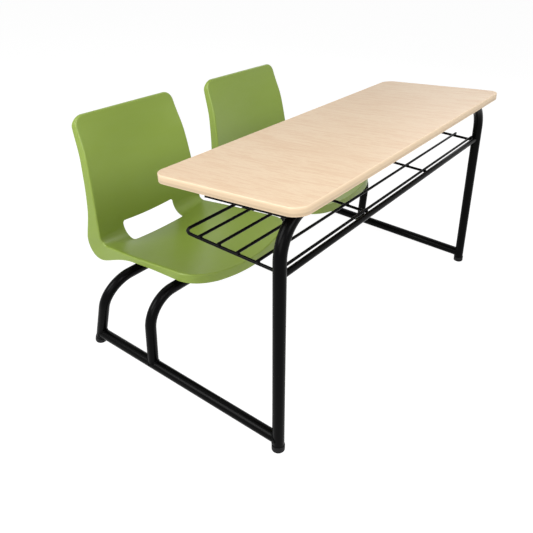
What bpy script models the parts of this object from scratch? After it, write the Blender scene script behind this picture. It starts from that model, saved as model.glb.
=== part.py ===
# Double school desk: a sloping desktop on a bent-tube arch, a wire book rack below it,
# and two moulded seat shells on two lower arches, all joined by a pair of floor rails.
# Metres, +Z up. X runs along the desk, the sitters are at +Y and face -Y.

import bmesh
import bpy
from math import acos, cos, pi, radians, sin, tan
from mathutils import Matrix, Vector

# Fit between pieces that touch
GAP = 0.0003
CUT = 0.010

# Tubes and rods
TUBE = 0.035
STRETCHER_TUBE = 0.018
RACK_ROD = 0.0095
RACK_WIRE = 0.0085
TUBE_SIDES = 20
THIN_SIDES = 12
WIRE_SIDES = 8
BEND_STEPS = 8

# Desktop panel
TOP_LENGTH = 1.353
TOP_DEPTH = 0.476
TOP_THICKNESS = 0.024
TOP_HEIGHT = 0.754
TOP_SLOPE = radians(5.82)
TOP_OVERHANG = 0.002
TOP_CORNER = 0.043
TOP_ARRIS = 0.0025
TOP_UNDER_ARRIS = 0.0015

# Frame layout: heights above the floor, depths behind the front feet
FOOT_SPACING = 1.3776
DESK_LEAN_BACK = radians(4.52)
DESK_LEAN_IN = radians(1.6)
DESK_BEND = 0.110
RAIL_HEIGHT = 0.039
STRETCHER_DROP = 0.1965
SEAT_POST_Y = 0.5039
SEAT_BEAM_HEIGHT = 0.2825
SEAT_BEND = 0.100
REAR_FOOT_Y = 0.7670
REAR_BEAM_HEIGHT = 0.2577
REAR_LEAN = radians(-14.3)
ORIGIN_Y = 0.4838

# Foot caps
FOOT_WALL = 0.0015
FOOT_CUP = 0.014
FOOT_SOLE = 0.006
FOOT_DOME = 0.005
FOOT_FLAT = 0.0012

# Square arms under the desktop
ARM_SIZE = 0.022
ARM_WALL = 0.002
ARM_END = 0.315
ARM_INSET = 0.042
ARM_EDGE = 0.002
CAP_PLATE = 0.002
CAP_PLUG = 0.010

# Book rack
RACK_DEPTH = 0.3383
RACK_WIDTH = 1.305
RACK_CORNER = 0.030
RACK_DROP = 0.002
RACK_WIRE_OVER = 0.0065
RACK_FIRST_WIRE = 0.0158
RACK_WIRES = 5
RACK_CROSS_SPACING = 0.420

# Seat shell: side outline
SEAT_SPACING = 0.6357
SHELL = 0.0045
PAN_CLEAR = 0.001
PAN_FRONT = 0.1154
PAN_REAR = 0.3824
BACK_LENGTH = 0.4635
BACK_RECLINE = radians(10.4)
HEEL_RADIUS = 0.0605

# Seat shell: widths, dish and corners
WIDTH_TOP = 0.4384
WIDTH_BACK = 0.4621
WIDTH_WAIST = 0.4951
WIDTH_HEEL = 0.4982
WIDTH_PAN = 0.5173
DISH = 0.0316
DISH_TOP = 0.001
DISH_HEEL = 0.0325
DISH_RUN = 0.150
DISH_POWER = 1.91
BACK_CORNER = 0.040
FRONT_CORNER = 0.105
FRONT_BOW = 0.0126
FRONT_POWER = 2.7

# Seat shell: turned-over edge
EDGE_RADIUS = 0.005
FLANGE_TOP = 0.008
FLANGE_BACK = 0.030
FLANGE_WAIST = 0.047
FLANGE_HEEL_TOP = 0.063
FLANGE_HEEL = 0.076
FLANGE_HEEL_END = 0.051
FLANGE_PAN = 0.0195
FLANGE_FRONT = 0.031
WAIST_RUN = 0.100
FLANGE_RUN = 0.130
FLANGE_FLARE = radians(4.0)

# Seat shell: opening behind the sitter's hips
OPENING_WIDTH = 0.2514
OPENING_HEIGHT = 0.079
OPENING_RISE = 0.0065
OPENING_CORNER = 0.016

# Seat shell: saddles that rest on the tubes
SADDLE_X = 0.080
SADDLE_WIDTH = 0.030
SADDLE_DEPTH = 0.046
SADDLE_LOW = 0.008

# Screws
SCREW = 0.005
SCREW_HEAD = 0.011
SCREW_HEAD_HEIGHT = 0.003
SCREW_COVER = 0.0035
TOP_SCREW_HOLD = 0.012
ARM_SCREWS = 3
ARM_SCREW_INSET = 0.040
ARM_SCREW_CLEAR = 0.020
SCREW_SIDES = 10

TUBE_R = TUBE / 2
ALONG = Vector((1, 0, 0))
REARWARD = Vector((0, 1, 0))
SIDES = {"left": -1, "right": 1}


# Scene and materials

def clear_scene():
    for item in list(bpy.data.objects):
        bpy.data.objects.remove(item, do_unlink=True)


def material(name, colour, roughness, metallic):
    made = bpy.data.materials.new(name)
    made.use_nodes = True
    shader = made.node_tree.nodes["Principled BSDF"]
    shader.inputs["Base Color"].default_value = (*colour, 1)
    shader.inputs["Roughness"].default_value = roughness
    shader.inputs["Metallic"].default_value = metallic
    made.diffuse_color = (*colour, 1)
    return made


def add_object(name, bm, finish, root):
    bmesh.ops.recalc_face_normals(bm, faces=bm.faces)
    mesh = bpy.data.meshes.new(name)
    bm.to_mesh(mesh)
    bm.free()
    mesh.shade_smooth()
    mesh.set_sharp_from_angle(angle=radians(40))
    item = bpy.data.objects.new(name, mesh)
    item.parent = root
    if finish:
        item.data.materials.append(finish)
    bpy.context.scene.collection.objects.link(item)
    return item


def add_cutter(name, bm, root):
    item = add_object(name, bm, None, root)
    item.hide_render = True
    item.display_type = "WIRE"
    return item


def cut(item, cutter, operation="DIFFERENCE"):
    change = item.modifiers.new(cutter.name, "BOOLEAN")
    change.operation = operation
    change.solver = "EXACT"
    change.object = cutter


# Shared shapes

def sweep(bm, path, radius, sides):
    """A round bar along a list of points, with flat ends."""
    tangents = []
    for i in range(len(path)):
        before = path[max(i - 1, 0)]
        after = path[min(i + 1, len(path) - 1)]
        tangents.append((after - before).normalized())
    aside = tangents[0].orthogonal().normalized()
    rings = []
    for i, centre in enumerate(path):
        aside = (aside - tangents[i] * aside.dot(tangents[i])).normalized()
        other = tangents[i].cross(aside)
        ring = []
        for k in range(sides):
            angle = 2 * pi * (k + 0.5) / sides
            ring.append(bm.verts.new(centre + radius * (cos(angle) * aside + sin(angle) * other)))
        rings.append(ring)
    for low, high in zip(rings, rings[1:]):
        for k in range(sides):
            n = (k + 1) % sides
            bm.faces.new((low[k], low[n], high[n], high[k]))
    bm.faces.new(rings[0][::-1])
    bm.faces.new(rings[-1])


def turned(bm, profile, place, sides):
    """A solid turned about Z from (radius, height) pairs, bottom to top, set in place."""
    rings = []
    for radius, height in profile:
        ring = []
        for k in range(sides):
            angle = 2 * pi * k / sides
            point = Vector((radius * cos(angle), radius * sin(angle), height))
            ring.append(bm.verts.new(place @ point))
        rings.append(ring)
    for low, high in zip(rings, rings[1:]):
        for k in range(sides):
            n = (k + 1) % sides
            bm.faces.new((low[k], low[n], high[n], high[k]))
    bm.faces.new(rings[0][::-1])
    bm.faces.new(rings[-1])


def block(bm, size, place):
    bmesh.ops.create_cube(bm, size=1, matrix=place @ Matrix.Diagonal((*size, 1)))


def rounded_outline(width, height, radius, steps):
    """Points round a rectangle with round corners, centred on zero."""
    points = []
    corners = [(1, 1, 0), (-1, 1, 1), (-1, -1, 2), (1, -1, 3)]
    for sx, sy, quarter in corners:
        centre = Vector((sx * (width / 2 - radius), sy * (height / 2 - radius)))
        for k in range(steps + 1):
            angle = pi / 2 * (quarter + k / steps)
            points.append(centre + radius * Vector((cos(angle), sin(angle))))
    return points


def frame_at(origin, x_axis, y_axis, z_axis):
    place = Matrix((x_axis, y_axis, z_axis)).transposed().to_4x4()
    place.translation = origin
    return place


# Frame geometry

def arch_height(height, lean):
    return height / cos(lean)


def arch_path(foot_half, foot_y, lean_in, lean_back, start, beam, bend):
    """Centre line of an inverted U: up one leg, round a bend, along the beam and down again.
    start and beam are measured up the leaning plane of the arch."""
    rise = Vector((0, sin(lean_back), cos(lean_back)))
    corner_x = -foot_half + beam * tan(lean_in)
    reach = bend * tan((pi / 2 - lean_in) / 2)
    centre = Vector((corner_x + reach, beam - bend))
    half = [Vector((-foot_half + start * tan(lean_in), start))]
    for k in range(BEND_STEPS + 1):
        angle = pi - lean_in - (pi / 2 - lean_in) * k / BEND_STEPS
        half.append(centre + bend * Vector((cos(angle), sin(angle))))
    flat = half + [Vector((-p.x, p.y)) for p in reversed(half)]
    return [Vector((p.x, foot_y, 0)) + p.y * rise for p in flat]


FOOT_HALF = FOOT_SPACING / 2
TUBE_START = FOOT_SOLE + GAP
DESK_BEAM = (TOP_HEIGHT * cos(TOP_SLOPE) - TOP_THICKNESS - TUBE_R - GAP) / cos(DESK_LEAN_BACK - TOP_SLOPE)
STRETCHER_HEIGHT = TOP_HEIGHT - STRETCHER_DROP
RAIL_HALF = FOOT_HALF - arch_height(RAIL_HEIGHT, DESK_LEAN_BACK) * tan(DESK_LEAN_IN)
STRETCHER_Y = STRETCHER_HEIGHT * tan(DESK_LEAN_BACK)
STRETCHER_HALF = FOOT_HALF - arch_height(STRETCHER_HEIGHT, DESK_LEAN_BACK) * tan(DESK_LEAN_IN)

DESK_ARCH = arch_path(FOOT_HALF, 0, DESK_LEAN_IN, DESK_LEAN_BACK, TUBE_START, DESK_BEAM, DESK_BEND)
FRONT_ARCH = arch_path(RAIL_HALF, SEAT_POST_Y, 0, 0, RAIL_HEIGHT, SEAT_BEAM_HEIGHT, SEAT_BEND)
REAR_ARCH = arch_path(RAIL_HALF, REAR_FOOT_Y, 0, REAR_LEAN, TUBE_START,
                      arch_height(REAR_BEAM_HEIGHT, REAR_LEAN), SEAT_BEND)


def tube_object(name, path, radius, sides, finish, root):
    bm = bmesh.new()
    sweep(bm, path, radius, sides)
    return add_object(name, bm, finish, root)


def tube_cutter(name, path, radius, sides, root):
    bm = bmesh.new()
    sweep(bm, path, radius + GAP, sides)
    return add_cutter(name, bm, root)


def build_frame(steel, root):
    """The three arches, the floor rails and the stretcher, with ends shaped to the tube they meet."""
    desk_cutter = tube_cutter("desk_arch_cutter", DESK_ARCH, TUBE_R, TUBE_SIDES, root)
    rear_cutter = tube_cutter("rear_arch_cutter", REAR_ARCH, TUBE_R, TUBE_SIDES, root)
    tube_object("desk_arch", DESK_ARCH, TUBE_R, TUBE_SIDES, steel, root)
    rear_arch = tube_object("seat_arch_rear", REAR_ARCH, TUBE_R, TUBE_SIDES, steel, root)
    front_arch = tube_object("seat_arch_front", FRONT_ARCH, TUBE_R, TUBE_SIDES, steel, root)
    rail_front = RAIL_HEIGHT * tan(DESK_LEAN_BACK)
    rail_rear = REAR_FOOT_Y + RAIL_HEIGHT * tan(REAR_LEAN)
    for side, sign in SIDES.items():
        ends = [Vector((sign * RAIL_HALF, y, RAIL_HEIGHT)) for y in (rail_front, rail_rear)]
        rail = tube_object("side_rail_" + side, ends, TUBE_R, TUBE_SIDES, steel, root)
        cut(rail, desk_cutter)
        cut(rail, rear_cutter)
        cut(front_arch, tube_cutter("rail_cutter_" + side, ends, TUBE_R, TUBE_SIDES, root))
    ends = [Vector((sign * STRETCHER_HALF, STRETCHER_Y, STRETCHER_HEIGHT)) for sign in (-1, 1)]
    stretcher = tube_object("stretcher", ends, STRETCHER_TUBE / 2, THIN_SIDES, steel, root)
    cut(stretcher, desk_cutter)
    return desk_cutter, front_arch, rear_arch


def build_feet(rubber, root):
    """Cup-shaped caps pushed on the four leg ends, with a dome below that is flat on the floor."""
    inner = TUBE_R + GAP
    outer = inner + FOOT_WALL
    profile = [(outer - FOOT_DOME, -FOOT_FLAT), (outer - FOOT_DOME / 3, FOOT_DOME / 3 - FOOT_FLAT),
               (outer, FOOT_DOME - FOOT_FLAT), (outer, FOOT_SOLE + FOOT_CUP),
               (inner, FOOT_SOLE + FOOT_CUP), (inner, FOOT_SOLE)]
    legs = {"front": (DESK_ARCH, 0, FOOT_HALF), "rear": (REAR_ARCH, REAR_FOOT_Y, RAIL_HALF)}
    for end, (path, foot_y, half) in legs.items():
        for side, sign in SIDES.items():
            points = path if sign < 0 else path[::-1]
            axis = (points[1] - points[0]).normalized()
            across = axis.cross(REARWARD).normalized()
            place = frame_at(Vector((sign * half, foot_y, 0)), across, axis.cross(across), axis)
            bm = bmesh.new()
            turned(bm, profile, place, TUBE_SIDES)
            geometry = bm.verts[:] + bm.edges[:] + bm.faces[:]
            below = bmesh.ops.bisect_plane(bm, geom=geometry, plane_co=(0, 0, 0), plane_no=(0, 0, 1),
                                           clear_inner=True)
            rim = [g for g in below["geom_cut"] if isinstance(g, bmesh.types.BMEdge)]
            bmesh.ops.holes_fill(bm, edges=rim, sides=0)
            add_object("foot_" + end + "_" + side, bm, rubber, root)


# Desktop and its arms

SLOPE_REAR = Vector((0, cos(TOP_SLOPE), -sin(TOP_SLOPE)))
SLOPE_UP = Vector((0, sin(TOP_SLOPE), cos(TOP_SLOPE)))
TOP_EDGE = Vector((0, 0, TOP_HEIGHT)) - SLOPE_REAR * TOP_OVERHANG
UNDERSIDE = TOP_EDGE - SLOPE_UP * TOP_THICKNESS
ARM_X = TOP_LENGTH / 2 - ARM_INSET
DESK_BEAM_POINT = Vector((0, sin(DESK_LEAN_BACK), cos(DESK_LEAN_BACK))) * DESK_BEAM
ARM_START = (DESK_BEAM_POINT - TOP_EDGE).dot(SLOPE_REAR)
ARM_LENGTH = ARM_END - ARM_START
ROUND_PROFILE_SHARE = 0.5


def arm_point(sign, back, down):
    """A point under the desktop: over an arm, this far from the front edge and below the panel."""
    return UNDERSIDE + ALONG * sign * ARM_X + SLOPE_REAR * back - SLOPE_UP * down


def arm_screw_backs():
    """Screw places from the front edge: the first just behind the arch, the last near the arm's end."""
    first = ARM_START + TUBE_R + ARM_SCREW_CLEAR
    last = ARM_END - ARM_SCREW_INSET
    return [first + (last - first) * k / (ARM_SCREWS - 1) for k in range(ARM_SCREWS)]


def add_screw(name, seat, axis, length, finish, root):
    """A pan-head screw whose head sits under seat and whose shank rises along axis."""
    bm = bmesh.new()
    across = axis.orthogonal().normalized()
    place = frame_at(seat, across, axis.cross(across), axis)
    head = SCREW_HEAD / 2
    low = -SCREW_HEAD_HEIGHT - GAP
    round_share = 0.7
    profile = [(head * round_share, low), (head, low / 2), (head, -GAP),
               (SCREW / 2, -GAP), (SCREW / 2, length)]
    turned(bm, profile, place, SCREW_SIDES)
    return add_object(name, bm, finish, root)


def hole(bm, start, axis, length):
    across = axis.orthogonal().normalized()
    place = frame_at(start, across, axis.cross(across), axis)
    radius = SCREW / 2 + GAP
    turned(bm, [(radius, 0), (radius, length)], place, SCREW_SIDES)


def build_desktop(laminate, root):
    outline = rounded_outline(TOP_LENGTH, TOP_DEPTH, TOP_CORNER, 6)
    middle = TOP_EDGE + SLOPE_REAR * TOP_DEPTH / 2
    place = frame_at(middle, ALONG, SLOPE_REAR, SLOPE_UP)
    levels = []
    for k in range(4):
        angle = pi / 2 * k / 3
        levels.append((TOP_ARRIS * (1 - sin(angle)), -TOP_ARRIS * (1 - cos(angle))))
    levels.append((0, -TOP_THICKNESS + TOP_UNDER_ARRIS))
    levels.append((TOP_UNDER_ARRIS, -TOP_THICKNESS))
    bm = bmesh.new()
    rings = []
    for inset, height in levels:
        ring = []
        share_x = 1 - 2 * inset / TOP_LENGTH
        share_y = 1 - 2 * inset / TOP_DEPTH
        for point in outline:
            ring.append(bm.verts.new(place @ Vector((point.x * share_x, point.y * share_y, height))))
        rings.append(ring)
    count = len(outline)
    for high, low in zip(rings, rings[1:]):
        for k in range(count):
            n = (k + 1) % count
            bm.faces.new((high[k], high[n], low[n], low[k]))
    bm.faces.new(rings[0])
    bm.faces.new(rings[-1][::-1])
    panel = add_object("desktop", bm, laminate, root)
    pilots = bmesh.new()
    for sign in SIDES.values():
        for back in arm_screw_backs():
            hole(pilots, arm_point(sign, back, CUT), SLOPE_UP, CUT + TOP_SCREW_HOLD + GAP)
    cut(panel, add_cutter("desktop_pilot_cutter", pilots, root))


def build_arms(steel, plastic, zinc, desk_cutter, root):
    """Square tubes from the arch back along the desktop, with end caps and long screws."""
    middle_back = ARM_START + ARM_LENGTH / 2
    centre_down = GAP + ARM_SIZE / 2
    bore = ARM_SIZE - 2 * ARM_WALL
    for side, sign in SIDES.items():
        place = frame_at(arm_point(sign, middle_back, centre_down), ALONG, SLOPE_REAR, SLOPE_UP)
        bm = bmesh.new()
        block(bm, (ARM_SIZE, ARM_LENGTH, ARM_SIZE), place)
        long_edges = [e for e in bm.edges if abs(e.calc_length() - ARM_LENGTH) < GAP]
        bmesh.ops.bevel(bm, geom=long_edges, offset=ARM_EDGE, segments=2, affect="EDGES",
                        profile=ROUND_PROFILE_SHARE)
        arm = add_object("top_arm_" + side, bm, steel, root)
        inside = bmesh.new()
        block(inside, (bore, ARM_LENGTH + 2 * CUT, bore), place)
        cut(arm, add_cutter("arm_bore_cutter_" + side, inside, root))
        cut(arm, desk_cutter)
        holes = bmesh.new()
        for k, back in enumerate(arm_screw_backs()):
            start = arm_point(sign, back, GAP + ARM_SIZE + CUT)
            hole(holes, start, SLOPE_UP, ARM_SIZE + 2 * CUT)
            seat = arm_point(sign, back, GAP + ARM_SIZE)
            name = "desktop_screw_" + side + "_" + str(k + 1)
            add_screw(name, seat, SLOPE_UP, GAP + ARM_SIZE + TOP_SCREW_HOLD, zinc, root)
        cut(arm, add_cutter("arm_hole_cutter_" + side, holes, root))
        bm = bmesh.new()
        plate = ARM_END + GAP + CAP_PLATE / 2
        plate_place = frame_at(arm_point(sign, plate, centre_down), ALONG, SLOPE_REAR, SLOPE_UP)
        block(bm, (ARM_SIZE, CAP_PLATE, ARM_SIZE), plate_place)
        cap = add_object("arm_cap_" + side, bm, plastic, root)
        stub = bmesh.new()
        plug_size = bore - 2 * GAP
        reach = CAP_PLUG + GAP + CAP_PLATE / 2
        plug_place = frame_at(arm_point(sign, plate - reach / 2, centre_down), ALONG, SLOPE_REAR, SLOPE_UP)
        block(stub, (plug_size, reach, plug_size), plug_place)
        cut(cap, add_cutter("arm_plug_shape_" + side, stub, root), "UNION")


# Book rack

def build_rack(steel, root):
    """A U of rod welded behind the stretcher, long wires on top of it and cross wires below them."""
    level = STRETCHER_HEIGHT - RACK_DROP
    wire_level = level + RACK_ROD / 2 + RACK_WIRE / 2 + GAP
    cross_level = wire_level - RACK_WIRE - GAP
    half = RACK_WIDTH / 2
    rear = STRETCHER_Y + RACK_DEPTH
    path = [Vector((-half, STRETCHER_Y, level))]
    steps = BEND_STEPS // 2
    for k in range(steps + 1):
        angle = pi - pi / 2 * k / steps
        x = -half + RACK_CORNER + RACK_CORNER * cos(angle)
        y = rear - RACK_CORNER + RACK_CORNER * sin(angle)
        path.append(Vector((x, y, level)))
    path += [Vector((-p.x, p.y, p.z)) for p in reversed(path)]
    stretcher_line = [Vector((sign * STRETCHER_HALF, STRETCHER_Y, STRETCHER_HEIGHT)) for sign in (-1, 1)]
    stretcher_cutter = tube_cutter("stretcher_cutter", stretcher_line, STRETCHER_TUBE / 2, THIN_SIDES, root)
    frame = tube_object("rack_frame", path, RACK_ROD / 2, THIN_SIDES, steel, root)
    cut(frame, stretcher_cutter)
    rod_cutter = tube_cutter("rack_frame_cutter", path, RACK_ROD / 2, THIN_SIDES, root)
    pitch = (RACK_DEPTH - RACK_FIRST_WIRE) / RACK_WIRES
    for k in range(RACK_WIRES):
        y = rear - pitch * (k + 1)
        ends = [Vector((sign * (half + RACK_WIRE_OVER), y, wire_level)) for sign in (-1, 1)]
        tube_object("rack_wire_" + str(k + 1), ends, RACK_WIRE / 2, WIRE_SIDES, steel, root)
    for k in range(2):
        x = (k - 0.5) * RACK_CROSS_SPACING
        ends = [Vector((x, y, cross_level)) for y in (STRETCHER_Y, rear)]
        cross = tube_object("rack_cross_wire_" + str(k + 1), ends, RACK_WIRE / 2, WIRE_SIDES, steel, root)
        cut(cross, stretcher_cutter)
        cut(cross, rod_cutter)


# Seat geometry

FRONT_BEAM = Vector((0, SEAT_POST_Y, SEAT_BEAM_HEIGHT))
REAR_BEAM = Vector((0, REAR_FOOT_Y + REAR_BEAM_HEIGHT * tan(REAR_LEAN), REAR_BEAM_HEIGHT))
PAN_REARWARD = (REAR_BEAM - FRONT_BEAM).normalized()
PAN_UP = ALONG.cross(PAN_REARWARD)
BEAM_GAP = (REAR_BEAM - FRONT_BEAM).length
PAN_LEVEL = TUBE_R + PAN_CLEAR + SHELL
SADDLE_LIFT = DISH * (2 * SADDLE_X / WIDTH_PAN) ** DISH_POWER
BACK_UP = Vector((0, sin(BACK_RECLINE), cos(BACK_RECLINE)))
BACK_FORWARD = ALONG.cross(BACK_UP)
HEEL_TURN = acos(PAN_REARWARD.dot(BACK_UP))
HEEL_REACH = HEEL_RADIUS * tan(HEEL_TURN / 2)
HEEL_CORNER = FRONT_BEAM + PAN_UP * PAN_LEVEL + PAN_REARWARD * PAN_REAR
HEEL_CENTRE = HEEL_CORNER - PAN_REARWARD * HEEL_REACH + PAN_UP * HEEL_RADIUS
BACK_RUN = BACK_LENGTH - HEEL_REACH
HEEL_RUN = HEEL_RADIUS * HEEL_TURN
PAN_RUN = PAN_REAR + PAN_FRONT - HEEL_REACH
HEEL_END = BACK_RUN + HEEL_RUN
TOTAL_RUN = HEEL_END + PAN_RUN


def profile(run):
    """Centre line of the shell from the top of the back to the front edge of the pan:
    the point, the direction onward and the direction towards the sitter."""
    if run <= BACK_RUN:
        return HEEL_CORNER + BACK_UP * (BACK_LENGTH - run), -BACK_UP, BACK_FORWARD
    if run <= HEEL_END:
        turn = (run - BACK_RUN) / HEEL_RADIUS
        inward = Matrix.Rotation(-turn, 3, "X") @ BACK_FORWARD
        return HEEL_CENTRE - inward * HEEL_RADIUS, Matrix.Rotation(-turn, 3, "X") @ -BACK_UP, inward
    on = run - HEEL_END
    return HEEL_CORNER - PAN_REARWARD * (HEEL_REACH + on), -PAN_REARWARD, PAN_UP


def blend(value, stations):
    """A smooth curve through (place, amount) stations, level at its ends."""
    if value <= stations[0][0]:
        return stations[0][1]
    if value >= stations[-1][0]:
        return stations[-1][1]
    slopes = [0.0]
    for (start, low), (end, high) in zip(stations, stations[2:]):
        slopes.append((high - low) / (end - start))
    slopes.append(0.0)
    k = max(i for i in range(len(stations) - 1) if value >= stations[i][0])
    (start, low), (end, high) = stations[k], stations[k + 1]
    length = end - start
    t = (value - start) / length
    rise = (3 - 2 * t) * t * t
    leave = t * (1 - t) ** 2 * slopes[k] * length
    arrive = t * t * (t - 1) * slopes[k + 1] * length
    return low + (high - low) * rise + leave + arrive


MID_HEEL = BACK_RUN + HEEL_RUN / 2
WIDTHS = [(0, WIDTH_TOP), (BACK_RUN / 2, WIDTH_BACK), (BACK_RUN, WIDTH_WAIST), (MID_HEEL, WIDTH_HEEL),
          (MID_HEEL + PAN_RUN / 2, WIDTH_PAN)]
DISHES = [(0, DISH_TOP), (DISH_RUN, DISH), (MID_HEEL, DISH_HEEL), (MID_HEEL + PAN_RUN / 2, DISH)]
FLANGES = [(0, FLANGE_TOP), (BACK_CORNER, FLANGE_BACK), (BACK_RUN - WAIST_RUN, FLANGE_WAIST),
           (BACK_RUN, FLANGE_HEEL_TOP), (MID_HEEL, FLANGE_HEEL), (HEEL_END, FLANGE_HEEL_END),
           (HEEL_END + FLANGE_RUN, FLANGE_PAN), (TOTAL_RUN, FLANGE_FRONT)]


def shell_rows(corner_steps, back_steps, heel_steps, pan_steps, front_steps):
    """Rows across the shell: where each starts at mid-width, where it ends at the side,
    its half width, and the outline's outward direction there, sideways and along the run."""
    rows = []
    corner = BACK_CORNER - EDGE_RADIUS
    for k in range(corner_steps):
        angle = pi / 2 * k / corner_steps
        run = EDGE_RADIUS + corner * (1 - cos(angle))
        half = blend(run, WIDTHS) / 2 - EDGE_RADIUS - corner * (1 - sin(angle))
        rows.append((run, run, half, (sin(angle), -cos(angle))))
    front = TOTAL_RUN - EDGE_RADIUS
    depth = FRONT_CORNER - EDGE_RADIUS
    stretches = [(BACK_CORNER, BACK_RUN, back_steps), (BACK_RUN, HEEL_END, heel_steps),
                 (HEEL_END, front - depth, pan_steps)]
    for start, end, steps in stretches:
        for k in range(steps):
            run = start + (end - start) * k / steps
            rows.append((run, run, blend(run, WIDTHS) / 2 - EDGE_RADIUS, (1, 0)))
    full = blend(front, WIDTHS) / 2 - EDGE_RADIUS
    bow_share = 1 - FRONT_BOW / depth
    last = acos(min(1, bow_share ** (FRONT_POWER / 2)))
    for k in range(front_steps + 1):
        share = k / front_steps
        angle = pi / 2 - (pi / 2 - last) * share
        half = full * sin(angle) ** (2 / FRONT_POWER)
        reach = depth * cos(angle) ** (2 / FRONT_POWER)
        middle = front - depth + depth * share
        out = Vector((depth * (half / full) ** (FRONT_POWER - 1), full * (reach / depth) ** (FRONT_POWER - 1)))
        out.normalize()
        rows.append((middle, front - depth + reach, half, (out.x, out.y)))
    return rows


def surface(middle, end, half, share):
    """A point of the sitter's side of the shell on one row, at a share of its half width."""
    run = middle + (end - middle) * share * share
    point, onward, inward = profile(run)
    full = blend(run, WIDTHS) / 2 - EDGE_RADIUS
    x = half * share
    lift = blend(run, DISHES) * abs(x / full) ** DISH_POWER
    return point + ALONG * x + inward * lift


def edge_point(row, share, out, turn, depth):
    """A point of the turned-over edge: turn goes round its bend, depth down its flat part."""
    middle, end, half = row
    run = middle + (end - middle) * share * share
    onward, inward = profile(run)[1:]
    outward = ALONG * out[0] + onward * out[1]
    bend = EDGE_RADIUS * (outward * sin(turn) - inward * (1 - cos(turn)))
    down = depth * (outward * sin(FLANGE_FLARE) - inward * cos(FLANGE_FLARE))
    return surface(middle, end, half, share) + bend + down


def shell_mesh(rows, columns, edge_steps):
    """The sitter's side of the shell with its turned-over edge, as one open surface."""
    bm = bmesh.new()
    grid = []
    for middle, end, half, out in rows:
        line = [bm.verts.new(surface(middle, end, half, 2 * k / columns - 1)) for k in range(columns + 1)]
        grid.append(line)
    for upper, lower in zip(grid, grid[1:]):
        for k in range(columns):
            bm.faces.new((upper[k], upper[k + 1], lower[k + 1], lower[k]))
    loop = []
    for k in range(1, columns):
        share = 2 * k / columns - 1
        loop.append((grid[0][k], rows[0][:3], share, (0, -1)))
    for line, (middle, end, half, out) in zip(grid, rows):
        loop.append((line[-1], (middle, end, half), 1, out))
    side = rows[-1][3]
    for k in range(columns - 1, 0, -1):
        share = 2 * k / columns - 1
        out = Vector((side[0] * share, 1 + (side[1] - 1) * abs(share))).normalized()
        loop.append((grid[-1][k], rows[-1][:3], share, (out.x, out.y)))
    for line, (middle, end, half, out) in zip(reversed(grid), reversed(rows)):
        loop.append((line[0], (middle, end, half), -1, (-out[0], out[1])))
    rings = [[entry[0] for entry in loop]]
    for k in range(1, edge_steps + 1):
        turn = pi / 2 * k / edge_steps
        rings.append([bm.verts.new(edge_point(row, share, out, turn, 0)) for v, row, share, out in loop])
    skirt = []
    for v, row, share, out in loop:
        run = row[0] + (row[1] - row[0]) * share * share
        skirt.append(bm.verts.new(edge_point(row, share, out, pi / 2, blend(run, FLANGES) - EDGE_RADIUS)))
    rings.append(skirt)
    count = len(loop)
    for inner, outer in zip(rings, rings[1:]):
        for k in range(count):
            n = (k + 1) % count
            bm.faces.new((inner[k], inner[n], outer[n], outer[k]))
    return bm


def opening_cutter(x):
    """A rounded slot through the heel of the shell, square to the middle of the bend."""
    through = (HEEL_CORNER - HEEL_CENTRE).normalized()
    up_chord = ALONG.cross(through)
    centre = HEEL_CENTRE + ALONG * x + up_chord * OPENING_RISE
    place = frame_at(centre, ALONG, up_chord, ALONG.cross(up_chord))
    depth = HEEL_RADIUS + DISH
    bm = bmesh.new()
    outline = rounded_outline(OPENING_WIDTH, OPENING_HEIGHT, OPENING_CORNER, 4)
    near = [bm.verts.new(place @ Vector((p.x, p.y, 0))) for p in outline]
    far = [bm.verts.new(place @ Vector((p.x, p.y, -depth))) for p in outline]
    count = len(outline)
    for k in range(count):
        n = (k + 1) % count
        bm.faces.new((near[k], near[n], far[n], far[k]))
    bm.faces.new(near[::-1])
    bm.faces.new(far)
    return bm


def beam_point(x, back, level):
    """A point at x, this far behind the front beam's centre line and above the plane of both beams."""
    return FRONT_BEAM + ALONG * x + PAN_REARWARD * back + PAN_UP * level


def upright(origin):
    return frame_at(origin, ALONG, PAN_REARWARD, PAN_UP)


def beam_cutter(name, back, x, root):
    """The stretch of beam below one shell, a little larger than the tube."""
    ends = [beam_point(x + sign * WIDTH_PAN / 2, back, 0) for sign in (-1, 1)]
    return tube_cutter(name, ends, TUBE_R, TUBE_SIDES, root)


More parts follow.
